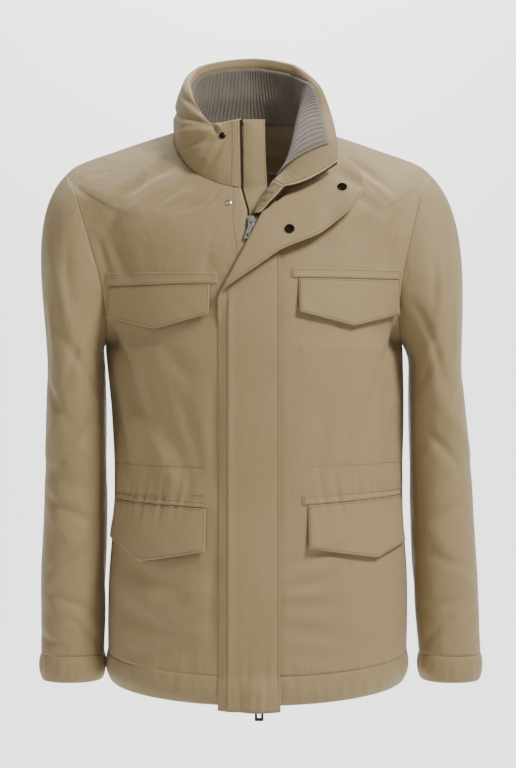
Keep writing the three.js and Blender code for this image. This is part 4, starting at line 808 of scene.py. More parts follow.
def inner_finish(thing, shape, finish, columns):
    """Gives the inside of a wall's first columns another finish."""
    across = shape[1] - 1
    count = (shape[0] - 1) * across
    marks = np.zeros(len(thing.data.polygons), np.int32)
    thing.data.polygons.foreach_get("material_index", marks)
    marks[count:2 * count][np.arange(count) % across < columns] = len(thing.data.materials)
    thing.data.materials.append(finish)
    thing.data.polygons.foreach_set("material_index", marks)


def edge_puckers(grid):
    """Small puckers across the rolled facing, strongest a little inside the zip edge."""
    column_number = np.arange(grid.shape[1])[None]
    drawn = smooth(column_number / 4) * np.exp(-((column_number / 13) ** 2))
    rows = SHELL_ROWS[:, None]
    drawn = drawn * smooth((rows - TURN_FROM) * 1.4) * smooth((NECK_ROW - rows) * 6)
    down = travelled(grid[:, 0])[:, None]
    lie = 1.1 * ripple(down + 0.5 * column_number, 11, 0.7) + 0.8 * ripple(down + column_number, 23, 2.1)
    return grid + directions(grid, grid * outward) * (drawn * lie)[..., None]


right_front = right_lines(SHELL_ROWS, FRONT_STEPS)
left_front = edge_puckers(left_lines(SHELL_ROWS, TURN_STEPS, FRONT_STEPS))
back = back_lines(SHELL_ROWS, 80)
PADDED = (KHAKI, LINING)
right_shell = wall("front_right_shell", right_front, right_front * outward, CLOTH, PADDED)
inner_finish(right_shell, right_front.shape, FACING, FACING_COLUMNS)
sheet(right_shell, (0.33, 0.78), replaced=["front_right"])
left_shell = wall("front_left_shell", left_front, left_front * outward, CLOTH, PADDED)
inner_finish(left_shell, left_front.shape, FACING, TURN_STEPS + FACING_COLUMNS)
sheet(left_shell, (0.33, 0.78), replaced=["front_left"])
sheet(wall("back_shell", back, back * outward, CLOTH, PADDED), (0.56, 0.8), replaced=["back"])

hem_right = right_lines(HEM_ROWS, FRONT_STEPS)
hem_left = left_lines(HEM_ROWS, TURN_STEPS, FRONT_STEPS)
for name, lines, flat in (("hem_band_front_right", hem_right, (0.3, 0.05)),
                          ("hem_band_front_left", hem_left, (0.3, 0.05)),
                          ("hem_band_back", back_lines(HEM_ROWS, 80), (0.52, 0.05))):
    sheet(wall(name + "_shell", lines, lines * outward, CLOTH, PADDED), flat, replaced=[name])


# Sleeves and cuffs

def sleeve_section(rows, z, angle):
    """Superellipse round the sleeve's middle at height z: cos and sin raised to a power."""
    side = np.sign(rows["x"][0])

    def full(k):
        return np.sign(k) * np.abs(k) ** SLEEVE_POWER

    x = column(rows, "x", -z, "down") + side * column(rows, "wide", -z, "down") * full(np.cos(angle))
    y = column(rows, "y", -z, "down") - column(rows, "deep", -z, "down") * full(np.sin(angle))
    return np.stack(np.broadcast_arrays(x, y, z), -1)


def sleeve_relief(z, angle, seed):
    """Creases of the sleeve, with fine puckers near the cuff."""
    turn = np.degrees(angle) % 360
    z, turn = np.broadcast_arrays(z, turn)
    height = crease_height(SLEEVE_FOLDS, turn, z) + crease_height(SLEEVE_CREASES, turn, z)
    return height + 0.9 * ripple(turn, 21, seed) * np.exp(-np.abs(z - SLEEVE_FOOT) / 14)


def sleeve_lines(rows, side, around, cap, below):
    """Cap: Hermite curves from the armhole to the first section; then the sections."""
    angles = 2 * np.pi * np.arange(around) / around
    q = angles / (2 * np.pi) * ARM_POINTS
    index = np.arange(len(ARM_ROWS))
    half = ARM_POINTS / 2
    front_row = np.interp(half - q, index, ARM_ROWS)
    back_row = np.interp(q - half, index, ARM_ROWS)
    one = np.ones_like(q)
    loop = np.where((q <= half)[:, None], body_form(FRONT, side, one, front_row),
                    body_form(BACK, side, one, back_row))
    top = -rows["down"][0]
    to = sleeve_section(rows, top * one, angles)
    span = np.linalg.norm(to - loop, axis=-1)[:, None]
    leave = unit(np.stack([side * CAP["out"] * one, -CAP["round"] * np.sin(angles),
                           -CAP["down"] - CAP["under"] * (1 - np.cos(angles))], -1))
    w = (np.arange(cap) / cap)[:, None, None] ** CAP["even"]
    w2, w3 = w * w, w * w * w
    down = np.array([0, 0, -CAP["pull"]])
    lines = ((2 * w3 - 3 * w2 + 1) * loop + (w3 - 2 * w2 + w) * span * CAP["pull"] * leave
             + (3 * w2 - 2 * w3) * to + (w3 - w2) * span * down)
    out = unit(np.stack([side * np.cos(angles), -np.sin(angles), 0 * angles], -1))
    fade = smooth(w[..., 0] * 3)
    pucker = 0.9 * ripple(angles * 60, 24, 5.0) * np.exp(-w[..., 0] * 9) * smooth(w[..., 0] * 20)
    lines = lines + out * (sleeve_relief(lines[..., 2], angles, side) * fade + pucker)[..., None]
    foot = -rows["down"][-1]
    z = np.linspace(top, foot, below)[:, None]
    fade = smooth((z - foot) / 6)
    sections = sleeve_section(rows, z, angles[None])
    sections = sections + out * (sleeve_relief(z, angles[None], side) * fade)[..., None]
    return np.concatenate([lines, sections])


def cuff_lines(rows, side, around):
    """Cuff: the sleeve's last section carried down with a half-sine bulge."""
    angles = 2 * np.pi * np.arange(around) / around
    share = np.linspace(1, 0, 18)[:, None]
    foot = -rows["down"][-1]
    out = np.stack([side * np.cos(angles), -np.sin(angles), 0 * angles], -1)
    swell = np.sin(np.pi * share)
    puff = CUFF_PUFF * swell**0.7 - 1.5 * (1 - share) + 0.8 * ripple(angles * 50, 15, side) * swell
    ring = sleeve_section(rows, foot * np.ones_like(angles), angles)
    drop = np.stack([0 * share, 0 * share, -CUFF_DROP * (1 - share)], -1)
    return ring[None] + out[None] * puff[..., None] + drop


for side, rows, word in ((-1, RIGHT_SLEEVE, "right"), (1, LEFT_SLEEVE, "left")):
    lines = sleeve_lines(rows, side, 112, 50, 110)
    middle = np.stack([np.full(lines.shape[:2], rows["x"][0]), 0 * lines[..., 1], lines[..., 2]], -1)
    sheet(wall(f"sleeve_{word}_shell", lines, lines - middle, CLOTH, PADDED, ring=True), (0.42, 0.66),
          replaced=[f"sleeve_{word}"])
    lines = cuff_lines(rows, side, 112)
    middle[:len(lines), :, 0] = rows["x"][-1]
    sheet(wall(f"cuff_{word}_shell", lines, lines - middle[:len(lines)], CLOTH, PADDED, ring=True),
          (0.3, 0.045), replaced=[f"cuff_{word}"])


# Collar

LEFT_COUNT = COARSE + TURN_COLUMNS


def neck_seam():
    """Points of the neck seam with the collar station of each."""
    row = np.array([float(NECK_ROW)])
    right = right_lines(row, 60)[0]
    behind = back_lines(row, 70)[0]
    left = left_lines(row, TURN_STEPS, 60)[0]
    right_at = np.linspace(0, 1, 60)
    back_at = np.linspace(1, 3, len(behind))
    k = np.arange(TURN_STEPS) / TURN_STEPS
    column_number = np.concatenate([TURN_COLUMNS * k, TURN_COLUMNS + COARSE * np.linspace(0, 1, 60)])
    left_at = 4 - column_number / LEFT_COUNT
    points = np.concatenate([right, behind[1:-1], left[::-1]])
    return points, np.concatenate([right_at, back_at[1:-1], left_at[::-1]])


seam_points, stations = neck_seam()
COLLAR_CREASES = table("x0 z0 x1 z1 wide high",  # x is the station in tenths, z the share in tenths
    (3.3, 9.9, 8.4, 5.6, 0.32, -3),
    (3.1, 9.2, 7.6, 3.6, 0.3, 2),
    (3.0, 8.4, 6.8, 1.6, 0.4, -3.2),
    (2.6, 7.2, 5.0, 1.0, 0.34, 1.4),
    (2.2, 6.2, 3.8, 0.8, 0.36, -2.2),
    (4.8, 9.9, 9.6, 8.0, 0.34, -2.4),
    (7.4, 6.6, 11, 3.0, 0.5, -2.6),
    (3.4, 9.6, 2.6, 8.2, 0.3, -2.6),
    (2.9, 9.9, 2.2, 9.0, 0.24, 2),
    (1.2, 8.2, 2.0, 6.6, 0.3, -1),
    (12, 7.5, 17, 5.5, 0.6, -1.8),
    (18, 4, 24, 3, 0.6, -1.6),
    (20, 8, 25, 6.4, 0.5, -1.4),
    (27, 7, 31, 3, 0.5, -2.4),
    (29, 9.4, 32, 6, 0.4, -2),
    (31, 9, 34, 5, 0.4, -2.4),
    (33, 8, 36, 2, 0.5, -1.6))


def collar_surface(points, at, share):
    """Quadratic curve from the neck seam through the crest to the top edge."""
    crest = np.stack([column(COLLAR, n, at, "at") for n in ("cx", "cy", "cz")], -1)
    top = np.stack([column(COLLAR, n, at, "at") for n in ("tx", "ty", "tz")], -1)
    pull = 2 * crest - (points + top) / 2
    s = share[:, None, None]
    k = 1 - s
    return k * k * points + 2 * k * s * pull + s * s * top


def collar_thickness(share, at):
    """Cloth at the seam, full padding by half its height, rounded at the top edge."""
    full = column(COLLAR, "thick", at, "at")
    edge = np.sqrt(np.clip((1 - share) * 12, 0.12, 1))
    return mix(CLOTH, full, smooth(share * 2.2)) * edge


COLLAR_SHARES = np.linspace(0, 1, 44)
collar = collar_surface(seam_points, stations, COLLAR_SHARES)
collar_out = directions(collar, collar * np.array([1, 1, 0]))
wave = 1.35 * crease_height(COLLAR_CREASES, stations[None] * 10 + 0 * COLLAR_SHARES[:, None],
                     COLLAR_SHARES[:, None] * 10 + 0 * stations[None])
pucker = 0.8 * ripple(stations * 110, 17, 0.4)[None] * np.exp(-COLLAR_SHARES[:, None] * 14)
collar_thick = collar_thickness(COLLAR_SHARES[:, None], stations[None])
rounding = (column(COLLAR, "thick", stations, "at")[None] - collar_thick) * 0.45
rounding = np.maximum(rounding, 0) * smooth((COLLAR_SHARES[:, None] - 0.85) / 0.1)
collar_face = collar + collar_out * (wave * smooth(COLLAR_SHARES[:, None] * 6) + pucker - rounding)[..., None]
collar_inside = collar - collar_out * (collar_thick + rounding)[..., None]
sheet(cloth("collar_shell", collar_face, collar_inside, (KHAKI, FACING)), (0.52, 0.13), replaced=["collar"])


def inside_collar(at, share, deeper):
    """Place on the collar's inner face, by linear interpolation in its grid, moved inwards."""
    base = collar - collar_out * (collar_thickness(np.minimum(COLLAR_SHARES[:, None], 0.88), stations[None])
                                  )[..., None]
    j = np.clip(np.searchsorted(stations, at) - 1, 0, len(stations) - 2)
    f = ((at - stations[j]) / (stations[j + 1] - stations[j]))[..., None]
    s = share * (len(COLLAR_SHARES) - 1)
    i = np.clip(s.astype(int), 0, len(COLLAR_SHARES) - 2)
    g = (s - i)[..., None]

    def blend(grid):
        return mix(mix(grid[i, j], grid[i, j + 1], f), mix(grid[i + 1, j], grid[i + 1, j + 1], f), g)

    return blend(base) - unit(blend(collar_out)) * np.asarray(deeper)[..., None]


rib_at, rib_share = np.meshgrid(np.linspace(KNIT["start"], KNIT["end"], KNIT["ribs"] * 7 + 1),
                                np.linspace(KNIT["foot"], KNIT["top"], 26))
rib_phase = (rib_at - KNIT["start"]) / (KNIT["end"] - KNIT["start"]) * KNIT["ribs"]
rib_wave = 0.5 + 0.5 * np.cos(2 * np.pi * rib_phase)
rib_rows = 0.5 + 0.5 * np.cos(2 * np.pi * rib_share * 60)
rib_edge = smooth((rib_share - KNIT["foot"]) * 60) * smooth((KNIT["top"] - rib_share) * 40)
rib_high = (KNIT["thick"] + KNIT["rib"] * rib_wave**0.7 + 0.1 * rib_rows) * mix(0.5, 1, rib_edge)
knit_face = inside_collar(rib_at, rib_share, KNIT["lie"] * 0.4 + rib_high)
knit_back = inside_collar(rib_at, rib_share, np.full(rib_at.shape, KNIT["lie"] * 0.4))
# the rib attribute also carries painted shade between the ribs into the knit's colour
sheet(cloth("collar_rib_knit", knit_face, knit_back, (RIB_KNIT, RIB_KNIT), attributes={"rib": rib_wave}),
      (0.46, 0.1), replaced=["collar_knit"])


# Lining of the back neck, puckered
def lining_surface(rows, deeper):
    """Back's surface moved inwards, with soft level folds."""
    share = np.linspace(-LINING_REACH, LINING_REACH, 100)
    lines = []
    for side, part in ((-1, share[share < 0]), (1, share[share >= 0])):
        u = np.abs(part)[None]
        p = body_form(BACK, side, u, rows[:, None])
        across = body_form(BACK, side, u + 0.02, rows[:, None]) - p
        up = body_form(BACK, side, u, rows[:, None] + 0.1) - p
        inward = unit(np.cross(up, across)) * -side
        arc = part[None] * FRONT_ARC
        high = rows[:, None]
        fold = 2.4 * ripple(high * 34 + arc * 0.12, 26, 1.9) + 1.2 * ripple(arc + high * 9, 31, 0.3)
        loose = smooth((NECK_ROW - rows[:, None]) * 1.6)
        lifted = [0, 0, 1] * (7 * smooth((rows[:, None] - 12.75) * 4))[..., None]
        lines.append(p + lifted + inward * (deeper + (2.2 + np.maximum(fold, -2.4)) * loose)[..., None])
    return np.concatenate(lines, 1)


lining_rows = np.linspace(9.4, 13.0, 66)
sheet(cloth("lining_back_neck_cloth", lining_surface(lining_rows, CLOTH + LINING_GAP),
            lining_surface(lining_rows, CLOTH + LINING_GAP + 0.8), (LINING, LINING)),
      (0.32, 0.16), replaced=["lining_back_neck"])


# Storm flap

def flap_point(across, up, off):
    """Place of a point of the flat flap once its top is folded back: an arc of half a turn over
    the fold line, then straight on. off is towards its outer face."""
    x = FLAP_SEAM_X - across - FOLD_FOOT[0]
    z = up - FOLD_FOOT[1]
    along = x * FOLD_RISE[0] + z * FOLD_RISE[1]
    past = z * FOLD_RISE[0] - x * FOLD_RISE[1]
    radius = mix(*FOLD_RADIUS, smooth(along / FOLD_LENGTH))
    angle = np.clip(past / radius, 0, FOLD_TURN)
    rest = np.maximum(past - FOLD_TURN * radius, 0)
    flat = np.where(past < 0, past, radius * np.sin(angle) + rest * np.cos(angle))
    high = np.where(past < 0, 0, radius * (1 - np.cos(angle)) + rest * np.sin(angle))
    droop = smooth((along - FLAP_SAG["start"]) / FLAP_SAG["over"])
    droop = droop * smooth((FLAP_SAG["end"] - along) / FLAP_SAG["fade"]) * smooth(rest / FLAP_SAG["wide"])
    sideways = flat - FLAP_SAG["most"] * droop - off * np.sin(angle)
    px = FOLD_FOOT[0] + along * FOLD_RISE[0] - sideways * FOLD_RISE[1]
    pz = FOLD_FOOT[1] + along * FOLD_RISE[1] + sideways * FOLD_RISE[0]
    bump = FLAP_BUMP
    over = bump["high"] * smooth((bump["z"] - up) / bump["over"])
    over = over * np.exp(-(((px - bump["x"]) / bump["wide"]) ** 2))
    # the free edge slopes to the body from a low ridge, and a faint wave runs down the flap
    slope = FLAP_SLOPE * np.clip((across - FLAP_WIDTH + FLAP_EDGE) / FLAP_EDGE, 0, 1) * smooth(-past / 14)
    ridge = 1.3 * np.exp(-(((across - FLAP_WIDTH + FLAP_EDGE + 1) / 5) ** 2)) * smooth(-past / 14)
    wave = 0.7 * ripple(up + across * 0.3, 170, 2.0) * np.sin(np.pi * np.clip(across / FLAP_WIDTH, 0, 1))
    turned = smooth(rest / 20)
    wave = wave + turned * 0.3 * ripple(along + 0.4 * rest, 58, 4.0)
    painted_rib_shade = sum(-deep * np.exp(-(((across - place) / wide) ** 2)) for place, wide, deep in FLAP_GROOVES)
    hold = np.maximum(pz, HANG_FROM)
    lift = FLAP_LIFT + over - slope + ridge + wave + painted_rib_shade + high + off * np.cos(angle)
    point, _ = on_front(px, hold, lift)
    point[..., 2] += pz - hold
    return point


def flap_start(rows):
    """First distance from the seam at which each row of the flap is kept."""
    across = np.linspace(0, FLAP_WIDTH - 12, 120)
    p = flap_point(across[None] + 0 * rows[:, None], rows[:, None] + 0 * across[None], 0.0)
    kept = p[..., 2] < FLAP_TRIM["z"] + FLAP_TRIM["slope"] * p[..., 0]
    first = np.argmax(kept, 1)
    return np.where(kept.any(1), across[first], across[-1])


flap_rows = np.concatenate([np.linspace(FLAP_FOOT, -205, 110, endpoint=False),
                            np.linspace(-205, FLAP_TOP, 150)])
flap_starts = flap_start(flap_rows)
kernel = np.ones(5) / 5
flap_starts = np.convolve(np.pad(flap_starts, 2, mode="edge"), kernel, mode="valid")
FLAP_COLUMNS = 96
flap_across = mix(flap_starts[:, None], FLAP_WIDTH, np.linspace(0, 1, FLAP_COLUMNS)[None])
near_top = smooth((flap_rows[:, None] - FLAP_TOP + FLAP_CORNER["tall"]) / FLAP_CORNER["tall"])
near_edge = smooth((flap_across - FLAP_WIDTH + FLAP_CORNER["wide"]) / FLAP_CORNER["wide"])
flap_up = flap_rows[:, None] - FLAP_CORNER["drop"] * near_top * near_edge
flap_face = flap_point(flap_across, flap_up, FLAP_THICK / 2)
flap_inside = flap_point(flap_across, flap_up, -FLAP_THICK / 2)
sheet(cloth("storm_flap_cloth", flap_face, flap_inside, (KHAKI_FLAP, KHAKI_FLAP)), (0.078, 0.76),
      replaced=["storm_flap"])


# Wind flap behind the zip
collar_edge = collar[:, 0]
edge_line = np.concatenate([right_front[:, 0], collar_edge])
wind_z = np.linspace(WIND["foot"], WIND["top"], 150)[:, None]
wind_right = mix(WIND["right_foot"], WIND["right_top"], smooth((wind_z + 200) / 250))
wind_x = mix(WIND["left"], wind_right, np.linspace(0, 1, 24)[None])
order = np.argsort(edge_line[:, 2])
wind_depth = np.interp(wind_z, edge_line[order, 2], edge_line[order, 1])


def wind_sheet(deeper):
    """Strip that follows the right front's zip edge in depth, bowed a little."""
    neck = WIND["neck"] * smooth((wind_z + 105) / 40)
    bow = 0.0024 * wind_x**2 + 0.5 * ripple(wind_z + wind_x, 60, 0.9)
    y = wind_depth + CLOTH + WIND["back"] + neck + deeper + bow
    return np.stack(np.broadcast_arrays(wind_x, y, wind_z), -1)


sheet(cloth("wind_flap_cloth", wind_sheet(0.0), wind_sheet(THIN), (KHAKI_FLAP, FACING)), (0.037, 0.7),
      replaced=["wind_flap"])


# Zip tapes and teeth

def zip_edge(grids, end=0):
    """The first or last column down grids with their directions: its points, the direction off
    the cloth and the direction away from it."""
    inner = 2 if end == 0 else -3
    return [np.concatenate(parts) for parts in zip(*(
        (grid[:, end], out[:, end], unit(grid[:, end] - grid[:, inner])) for grid, out in grids))]


right_out = directions(right_front, right_front * outward)
left_out = directions(left_front, left_front * outward)
right_zip = [np.concatenate(pair) for pair in zip(
    zip_edge([(hem_right, directions(hem_right, hem_right * outward)), (right_front, right_out)]),
    zip_edge([(collar, collar_out)]))]
left_zip = [np.concatenate(pair) for pair in zip(
    zip_edge([(hem_left, directions(hem_left, hem_left * outward)), (left_front, left_out)]),
    zip_edge([(collar, collar_out)], -1))]


def soften(lines, times=6):
    """Runs a short average down each of the lines, so that they turn smoothly."""
    result = []
    for line in lines:
        for _ in range(times):
            line = np.concatenate([line[:1], (line[:-2] + line[1:-1] + line[2:]) / 3, line[-1:]])
        result.append(line)
    return result


def tape_and_teeth(word, zip_lines):
    """Zip tape as a thin strip beyond a front's edge, with a row of teeth on its far edge."""
    edge, out, side = zip_lines
    out, side = soften([out, side])
    out, side = unit(out), unit(side)
    opened = smooth((edge[:, 2] - ZIP_OPEN_Z) / ZIP_OPENING)[:, None]
    wide = mix(TAPE_WIDE, TAPE_OPEN, opened)
    near = edge + side * SEAM - out * (CLOTH - TAPE_THICK) / 2
    share = np.linspace(0, 1, 5)[None, :, None]
    strip = near[:, None] + (side * wide)[:, None] * share
    tape = cloth(f"zip_tape_{word}_cloth", strip, strip - out[:, None] * TAPE_THICK, (TAPE, TAPE))
    sheet(tape, (0.012, 0.78), replaced=[f"zip_tape_{word}"])
    far = near + side * wide
    length = travelled(far)
    at = np.arange(2, length[-1] - 2, TOOTH_PITCH) + (0 if word == "right" else TOOTH_PITCH / 2)
    place, off, reach = (read_line(line, length, at) for line in (far, out, side))
    off, reach = unit(off), unit(reach)
    run = unit(np.gradient(place, axis=0))
    half, tall = TOOTH["half"], TOOTH["tall"]
    corners = np.array([(a, b, c) for a in (-half, half) for b in (-tall, tall)
                        for c in (TOOTH["sunk"], TOOTH["proud"])])
    points = (place[:, None] + reach[:, None] * corners[None, :, :1] + run[:, None] * corners[None, :, 1:2]
              + off[:, None] * corners[None, :, 2:])
    box = np.array([(0, 1, 3, 2), (4, 6, 7, 5), (0, 4, 5, 1), (2, 3, 7, 6), (0, 2, 6, 4), (1, 5, 7, 3)])
    faces = (box[None] + 8 * np.arange(len(at))[:, None, None]).reshape(-1, 4)
    flat_points = points.reshape(-1, 3)
    teeth = make_mesh(f"zip_teeth_{word}", flat_points, orient(flat_points, faces), None, [TEETH])
    teeth.data.polygons.foreach_set("use_smooth", np.zeros(len(teeth.data.polygons), bool))
    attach(teeth, "jacket")


tape_and_teeth("right", right_zip)
tape_and_teeth("left", left_zip)


# Stitches

def stitches(name, runs):
    """Short thread stitches laid along paths: each is a six-sided spindle in the cloth's face."""
    all_points, all_faces = [], []
    start = 0
    ring = np.linspace(0, 2 * np.pi, 6, endpoint=False)
    spindle = np.array([(t, r * math.cos(a), r * math.sin(a)) for t, r in
                        ((-0.5, 0.35), (-0.22, 1), (0.22, 1), (0.5, 0.35)) for a in ring])
    rings = [(6 * k + j, 6 * k + (j + 1) % 6, 6 * k + 6 + (j + 1) % 6, 6 * k + 6 + j)
             for k in range(3) for j in range(6)]
    caps = [(0, 3, 2, 1), (0, 5, 4, 3), (18, 19, 20, 21), (18, 21, 22, 23)]
    pattern = np.array(rings + caps)
    for path, out in runs:
        length = travelled(path)
        at = np.arange(STITCH["pitch"] / 2, length[-1], STITCH["pitch"])
        place = read_line(path, length, at)
        off = unit(read_line(out, length, at))
        run = unit(read_line(path, length, at + 1) - read_line(path, length, at - 1))
        cross = np.cross(run, off)
        points = (place[:, None] + run[:, None] * (spindle[None, :, :1] * STITCH["long"])
                  + cross[:, None] * (spindle[None, :, 1:2] * STITCH["radius"])
                  + off[:, None] * (spindle[None, :, 2:] * STITCH["radius"] * 0.8))
        all_points.append(points.reshape(-1, 3))
        all_faces.append((pattern[None] + start + 24 * np.arange(len(at))[:, None, None]).reshape(-1, 4))
        start += 24 * len(at)
    points = np.concatenate(all_points)
    thing = make_mesh(name, points, orient(points, np.concatenate(all_faces)), None, [THREAD_WITH_PAINTED_SHADE])
    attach(thing, "jacket")
    return thing


def on_path(corners, lift, spacing=4.0):
    """Path over the front through (x, z) corners, with its directions."""
    corners = np.asarray(corners, float)
    length = travelled(corners)
    at = np.linspace(0, length[-1], max(int(length[-1] / spacing), 2))
    x, z = read_line(corners, length, at).T
    return on_front(x, z, lift)


# Pockets

def pocket(p):
    """Pointed flap under a stitched band: both follow the front, the flap stands off at its foot."""
    def top(x):
        return mix(p["left_top"], p["right_top"], (x - p["left"]) / (p["right"] - p["left"]))

    def foot(x):
        near = mix(p["left_foot"], p["point"], (x - p["left"]) / (p["point_x"] - p["left"]))
        far = mix(p["point"], p["right_foot"], (x - p["point_x"]) / (p["right"] - p["point_x"]))
        return np.where(x < p["point_x"], near, far)

    def across(x):
        return np.sin(np.pi * np.clip((x - p["left"]) / (p["right"] - p["left"]), 0, 1))

    near = np.linspace(p["left"], p["point_x"], 40)
    x = np.concatenate([near, np.linspace(p["point_x"], p["right"], 41)[1:]])[None]
    down = np.linspace(0, 1, 40)[:, None]
    x = x + 0 * down
    z = mix(top(x), foot(x), down)
    swell = POCKET_SWELL * across(x) * np.sin(np.pi * down**0.8)
    curl = 0.5 * ripple(x + z, 47, p["left"])
    stand = POCKET_STAND * down**1.5 + swell + curl * down
    tucked = 1.5 * (1 - smooth(down * 12))
    face, _ = on_front(x, z, LIE + THIN + stand - tucked)
    behind, _ = on_front(x, z, LIE + stand - tucked * 0.3)
    fade = np.ones(x.shape)
    for i, share in enumerate((0.5, 0.8)):
        fade[-1 - i] = np.minimum(fade[-1 - i], share)
        fade[:, i] = np.minimum(fade[:, i], share)
        fade[:, -1 - i] = np.minimum(fade[:, -1 - i], share)
    face = mix(behind, face, fade[..., None])
    wide = (p["right"] - p["left"]) / 1000
    tall = (max(p["left_top"], p["right_top"]) - p["point"] + 6) / 1000
    flap = cloth(f"pocket_flap_{p['name']}_cloth", face, behind, (KHAKI_FLAP, KHAKI_FLAP))
    sheet(flap, (wide * 1.1, tall), replaced=[f"pocket_flap_{p['name']}"])
    left, right, left_top, right_top = p["band"]
    bx = np.linspace(left, right, 80)[None] + np.zeros((14, 1))
    low = top(np.clip(bx, p["left"], p["right"])) + 2 * SEAM
    high = mix(left_top, right_top, (bx - left) / (right - left))
    s = np.linspace(0, 1, 14)[:, None]
    bz = mix(low, high, s)
    # the band holds a narrow tuck just above the flap
    tuck = 0.8 * np.exp(-(((s - 0.22) / 0.16) ** 2)) * smooth(np.minimum(bx - left, right - bx) / 8)
    inside = np.minimum(np.minimum(bx - left, right - bx), high - bz)
    raised = (LIE * 0.6 + BAND_THICK) * smooth(inside / 5) + tuck * smooth(inside / 4)
    bface, _ = on_front(bx, bz, 0.25 + raised)
    bback, _ = on_front(bx, bz, 0.1 + 0 * bx)
    band = cloth(f"pocket_band_{p['name']}_cloth", bface, bback, (KHAKI_FLAP, KHAKI_FLAP))
    sheet(band, (wide * 1.15, BAND_TALL), replaced=[f"pocket_band_{p['name']}"])
    inset = 3.0
    runs = []
    lift = LIE + BAND_THICK - 0.1
    upper = [(left + inset, left_top - inset), (right - inset, right_top - inset)]
    runs.append(on_path(upper, lift))
    for corner_x, corner_top, flap_top, sign in ((left, left_top, p["left_top"], 1),
                                                 (right, right_top, p["right_top"], -1)):
        runs.append(on_path([(corner_x + sign * inset, corner_top - inset),
                             (corner_x + sign * inset, flap_top + 1.5)], lift, 2.0))
    topline = [(p["left"] + 2, p["left_top"] - 2), (p["right"] - 2, p["right_top"] - 2)]
    runs.append(on_path(topline, LIE + THIN + 0.2))
    side_runs = [(p["left"] + 2.2, p["left_top"] - 2), (p["left"] + 2.2, p["left_foot"] + 2.6),
                 (p["point_x"], p["point"] + 3), (p["right"] - 2.2, p["right_foot"] + 2.6),
                 (p["right"] - 2.2, p["right_top"] - 2)]
    path, out = on_path(side_runs, 0.0)
    share = np.clip((top(path[:, 0]) - path[:, 2]) / np.maximum(top(path[:, 0]) - foot(path[:, 0]), 1), 0, 1)
    swell = POCKET_SWELL * across(path[:, 0]) * np.sin(np.pi * share**0.8)
    curl = 0.5 * ripple(path[:, 0] + path[:, 2], 47, p["left"])
    lifted = LIE + THIN + POCKET_STAND * share**1.5 + swell + curl * share
    runs.append((path + out * lifted[:, None], out))
    stitches(f"pocket_stitches_{p['name']}", runs)


for each in POCKETS:
    pocket(each)

# Stitched lines of the waist channel, the storm flap and the zip
waist_runs = []
for x0, x1, tilt in ((-186, -64, -6), (74, 192, 5)):
    for z0 in WAIST_LINES:
        waist_runs.append(on_path([(x0, z0), (x1, z0 + tilt * 0.3)], 0.3))
stitches("waist_stitches", waist_runs)


def flap_path(distance, bottom, upper, steps, face=1):
    """Line down the storm flap at a distance from its seam, on its outer face (1), or on its
    inner face (-1), which shows where the flap is turned."""
    up = np.linspace(bottom, upper, steps)
    across = np.full_like(up, distance)
    near = flap_point(across, up, face * (FLAP_THICK / 2 + STITCH["lift"]))
    return near, unit(near - flap_point(across, up, -face * FLAP_THICK / 2))


stitches("storm_flap_stitches", [flap_path(3, FLAP_FOOT + 4, -128, 200),
                                 flap_path(FLAP_WIDTH - FLAP_EDGE, FLAP_FOOT + 4, -180, 200),
                                 flap_path(FLAP_WIDTH - 2.5, -168, 40, 120, -1)])


def grid_path(grid, out, index, lift=STITCH["lift"]):
    """Line down a grid's column, with its directions."""
    return grid[:, index] + out[:, index] * lift, out[:, index]


ROLLED_ROWS = SHELL_ROWS > TURN_FROM + 0.5
stitches("zip_stitches", [grid_path(right_front, right_out, 4), grid_path(collar, collar_out, 4),
                          grid_path(left_front[ROLLED_ROWS], -left_out[ROLLED_ROWS], 7,
                                    CLOTH + STITCH["lift"]),
                          (wind_sheet(-0.2)[:, -2][60:], np.tile([0.0, -1.0, 0.0], (90, 1)))])

# Hard parts keep their solids, with their own finishes
HARD = dict(slider_top=STEEL, pull_tab_top=STEEL, slider_bottom=BLACK, pull_tab_bottom=BLACK,
            snap_socket_upper=BRONZE, snap_socket_lower=BRONZE, snap_stud_collar=BRONZE,
            snap_stud_chest=STEEL)
for name, finish in HARD.items():
    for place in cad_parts[name].material_slots:
        place.material = finish

# Floor, light and camera
FLOOR_Z = -1350.0
SWEEP_Y = 3000.0  # where the floor starts to rise
SWEEP_RADIUS = 1400.0


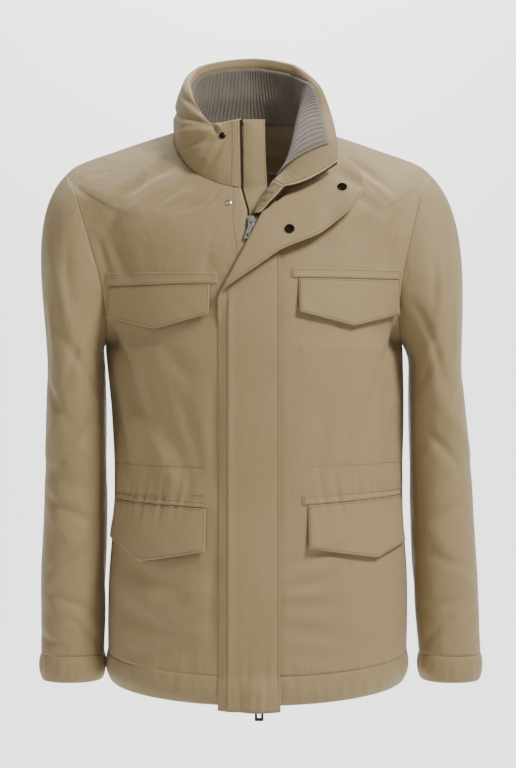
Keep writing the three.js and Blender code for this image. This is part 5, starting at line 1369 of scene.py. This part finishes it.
def studio_sweep():
    """Level floor that rises behind in a quarter circle to an upright sheet."""
    turn = np.linspace(0, np.pi / 2, 24)
    y = np.concatenate([[-7000], SWEEP_Y + SWEEP_RADIUS * np.sin(turn), [SWEEP_Y + SWEEP_RADIUS]])
    z = np.concatenate([[0], SWEEP_RADIUS * (1 - np.cos(turn)), [5200]]) + FLOOR_Z
    x = np.array([-7000.0, 7000.0])
    points = np.stack([np.tile(x, len(y)), np.repeat(y, 2), np.repeat(z, 2)], -1)
    return points, quads(len(y), 2, 0)


paper = Finish("pale studio paper", (0.9, 0.9, 0.89), 0.9)
floor = make_mesh("floor", *studio_sweep(), None, [paper.material])

world = bpy.data.worlds.new("studio")
bpy.context.scene.world = world
world.use_nodes = True
world.node_tree.nodes["Background"].inputs["Color"].default_value = (1.0, 1.0, 1.0, 1.0)
world.node_tree.nodes["Background"].inputs["Strength"].default_value = 0.24


def lamp(name, place, towards, size, power):
    """Square soft light at a place, in metres, facing a point."""
    data = bpy.data.lights.new(name, "AREA")
    data.shape = "SQUARE"
    data.size = size
    data.energy = power
    thing = bpy.data.objects.new(name, data)
    bpy.context.scene.collection.objects.link(thing)
    thing.location = place
    aim = np.array(towards, float) - np.array(place, float)
    rise = math.atan2(aim[2], math.hypot(aim[0], aim[1]))
    thing.rotation_euler = (math.pi / 2 + rise, 0, math.atan2(aim[1], aim[0]) - math.pi / 2)
    return thing


lamp("key", (1.7, -1.5, 1.9), (0, 0, -0.25), 0.7, 105)
lamp("fill", (-1.9, -1.6, 0.7), (0, 0, -0.3), 1.0, 9)
lamp("backdrop light", (0, 1.6, 2.6), (0, 4.4, -0.2), 2.4, 420)

camera_data = bpy.data.cameras.new("camera")
camera = bpy.data.objects.new("camera", camera_data)
bpy.context.scene.collection.objects.link(camera)
FOCUS = 1777.8  # pixels of a frame 768 high
camera_data.sensor_fit = "VERTICAL"
camera_data.sensor_height = 24
camera_data.lens = 24 * FOCUS / 768
camera.location = (0.0054, -2.4, -0.289)
camera.rotation_euler = (math.pi / 2, 0, 0)
camera_data.clip_end = 60
bpy.context.scene.camera = camera
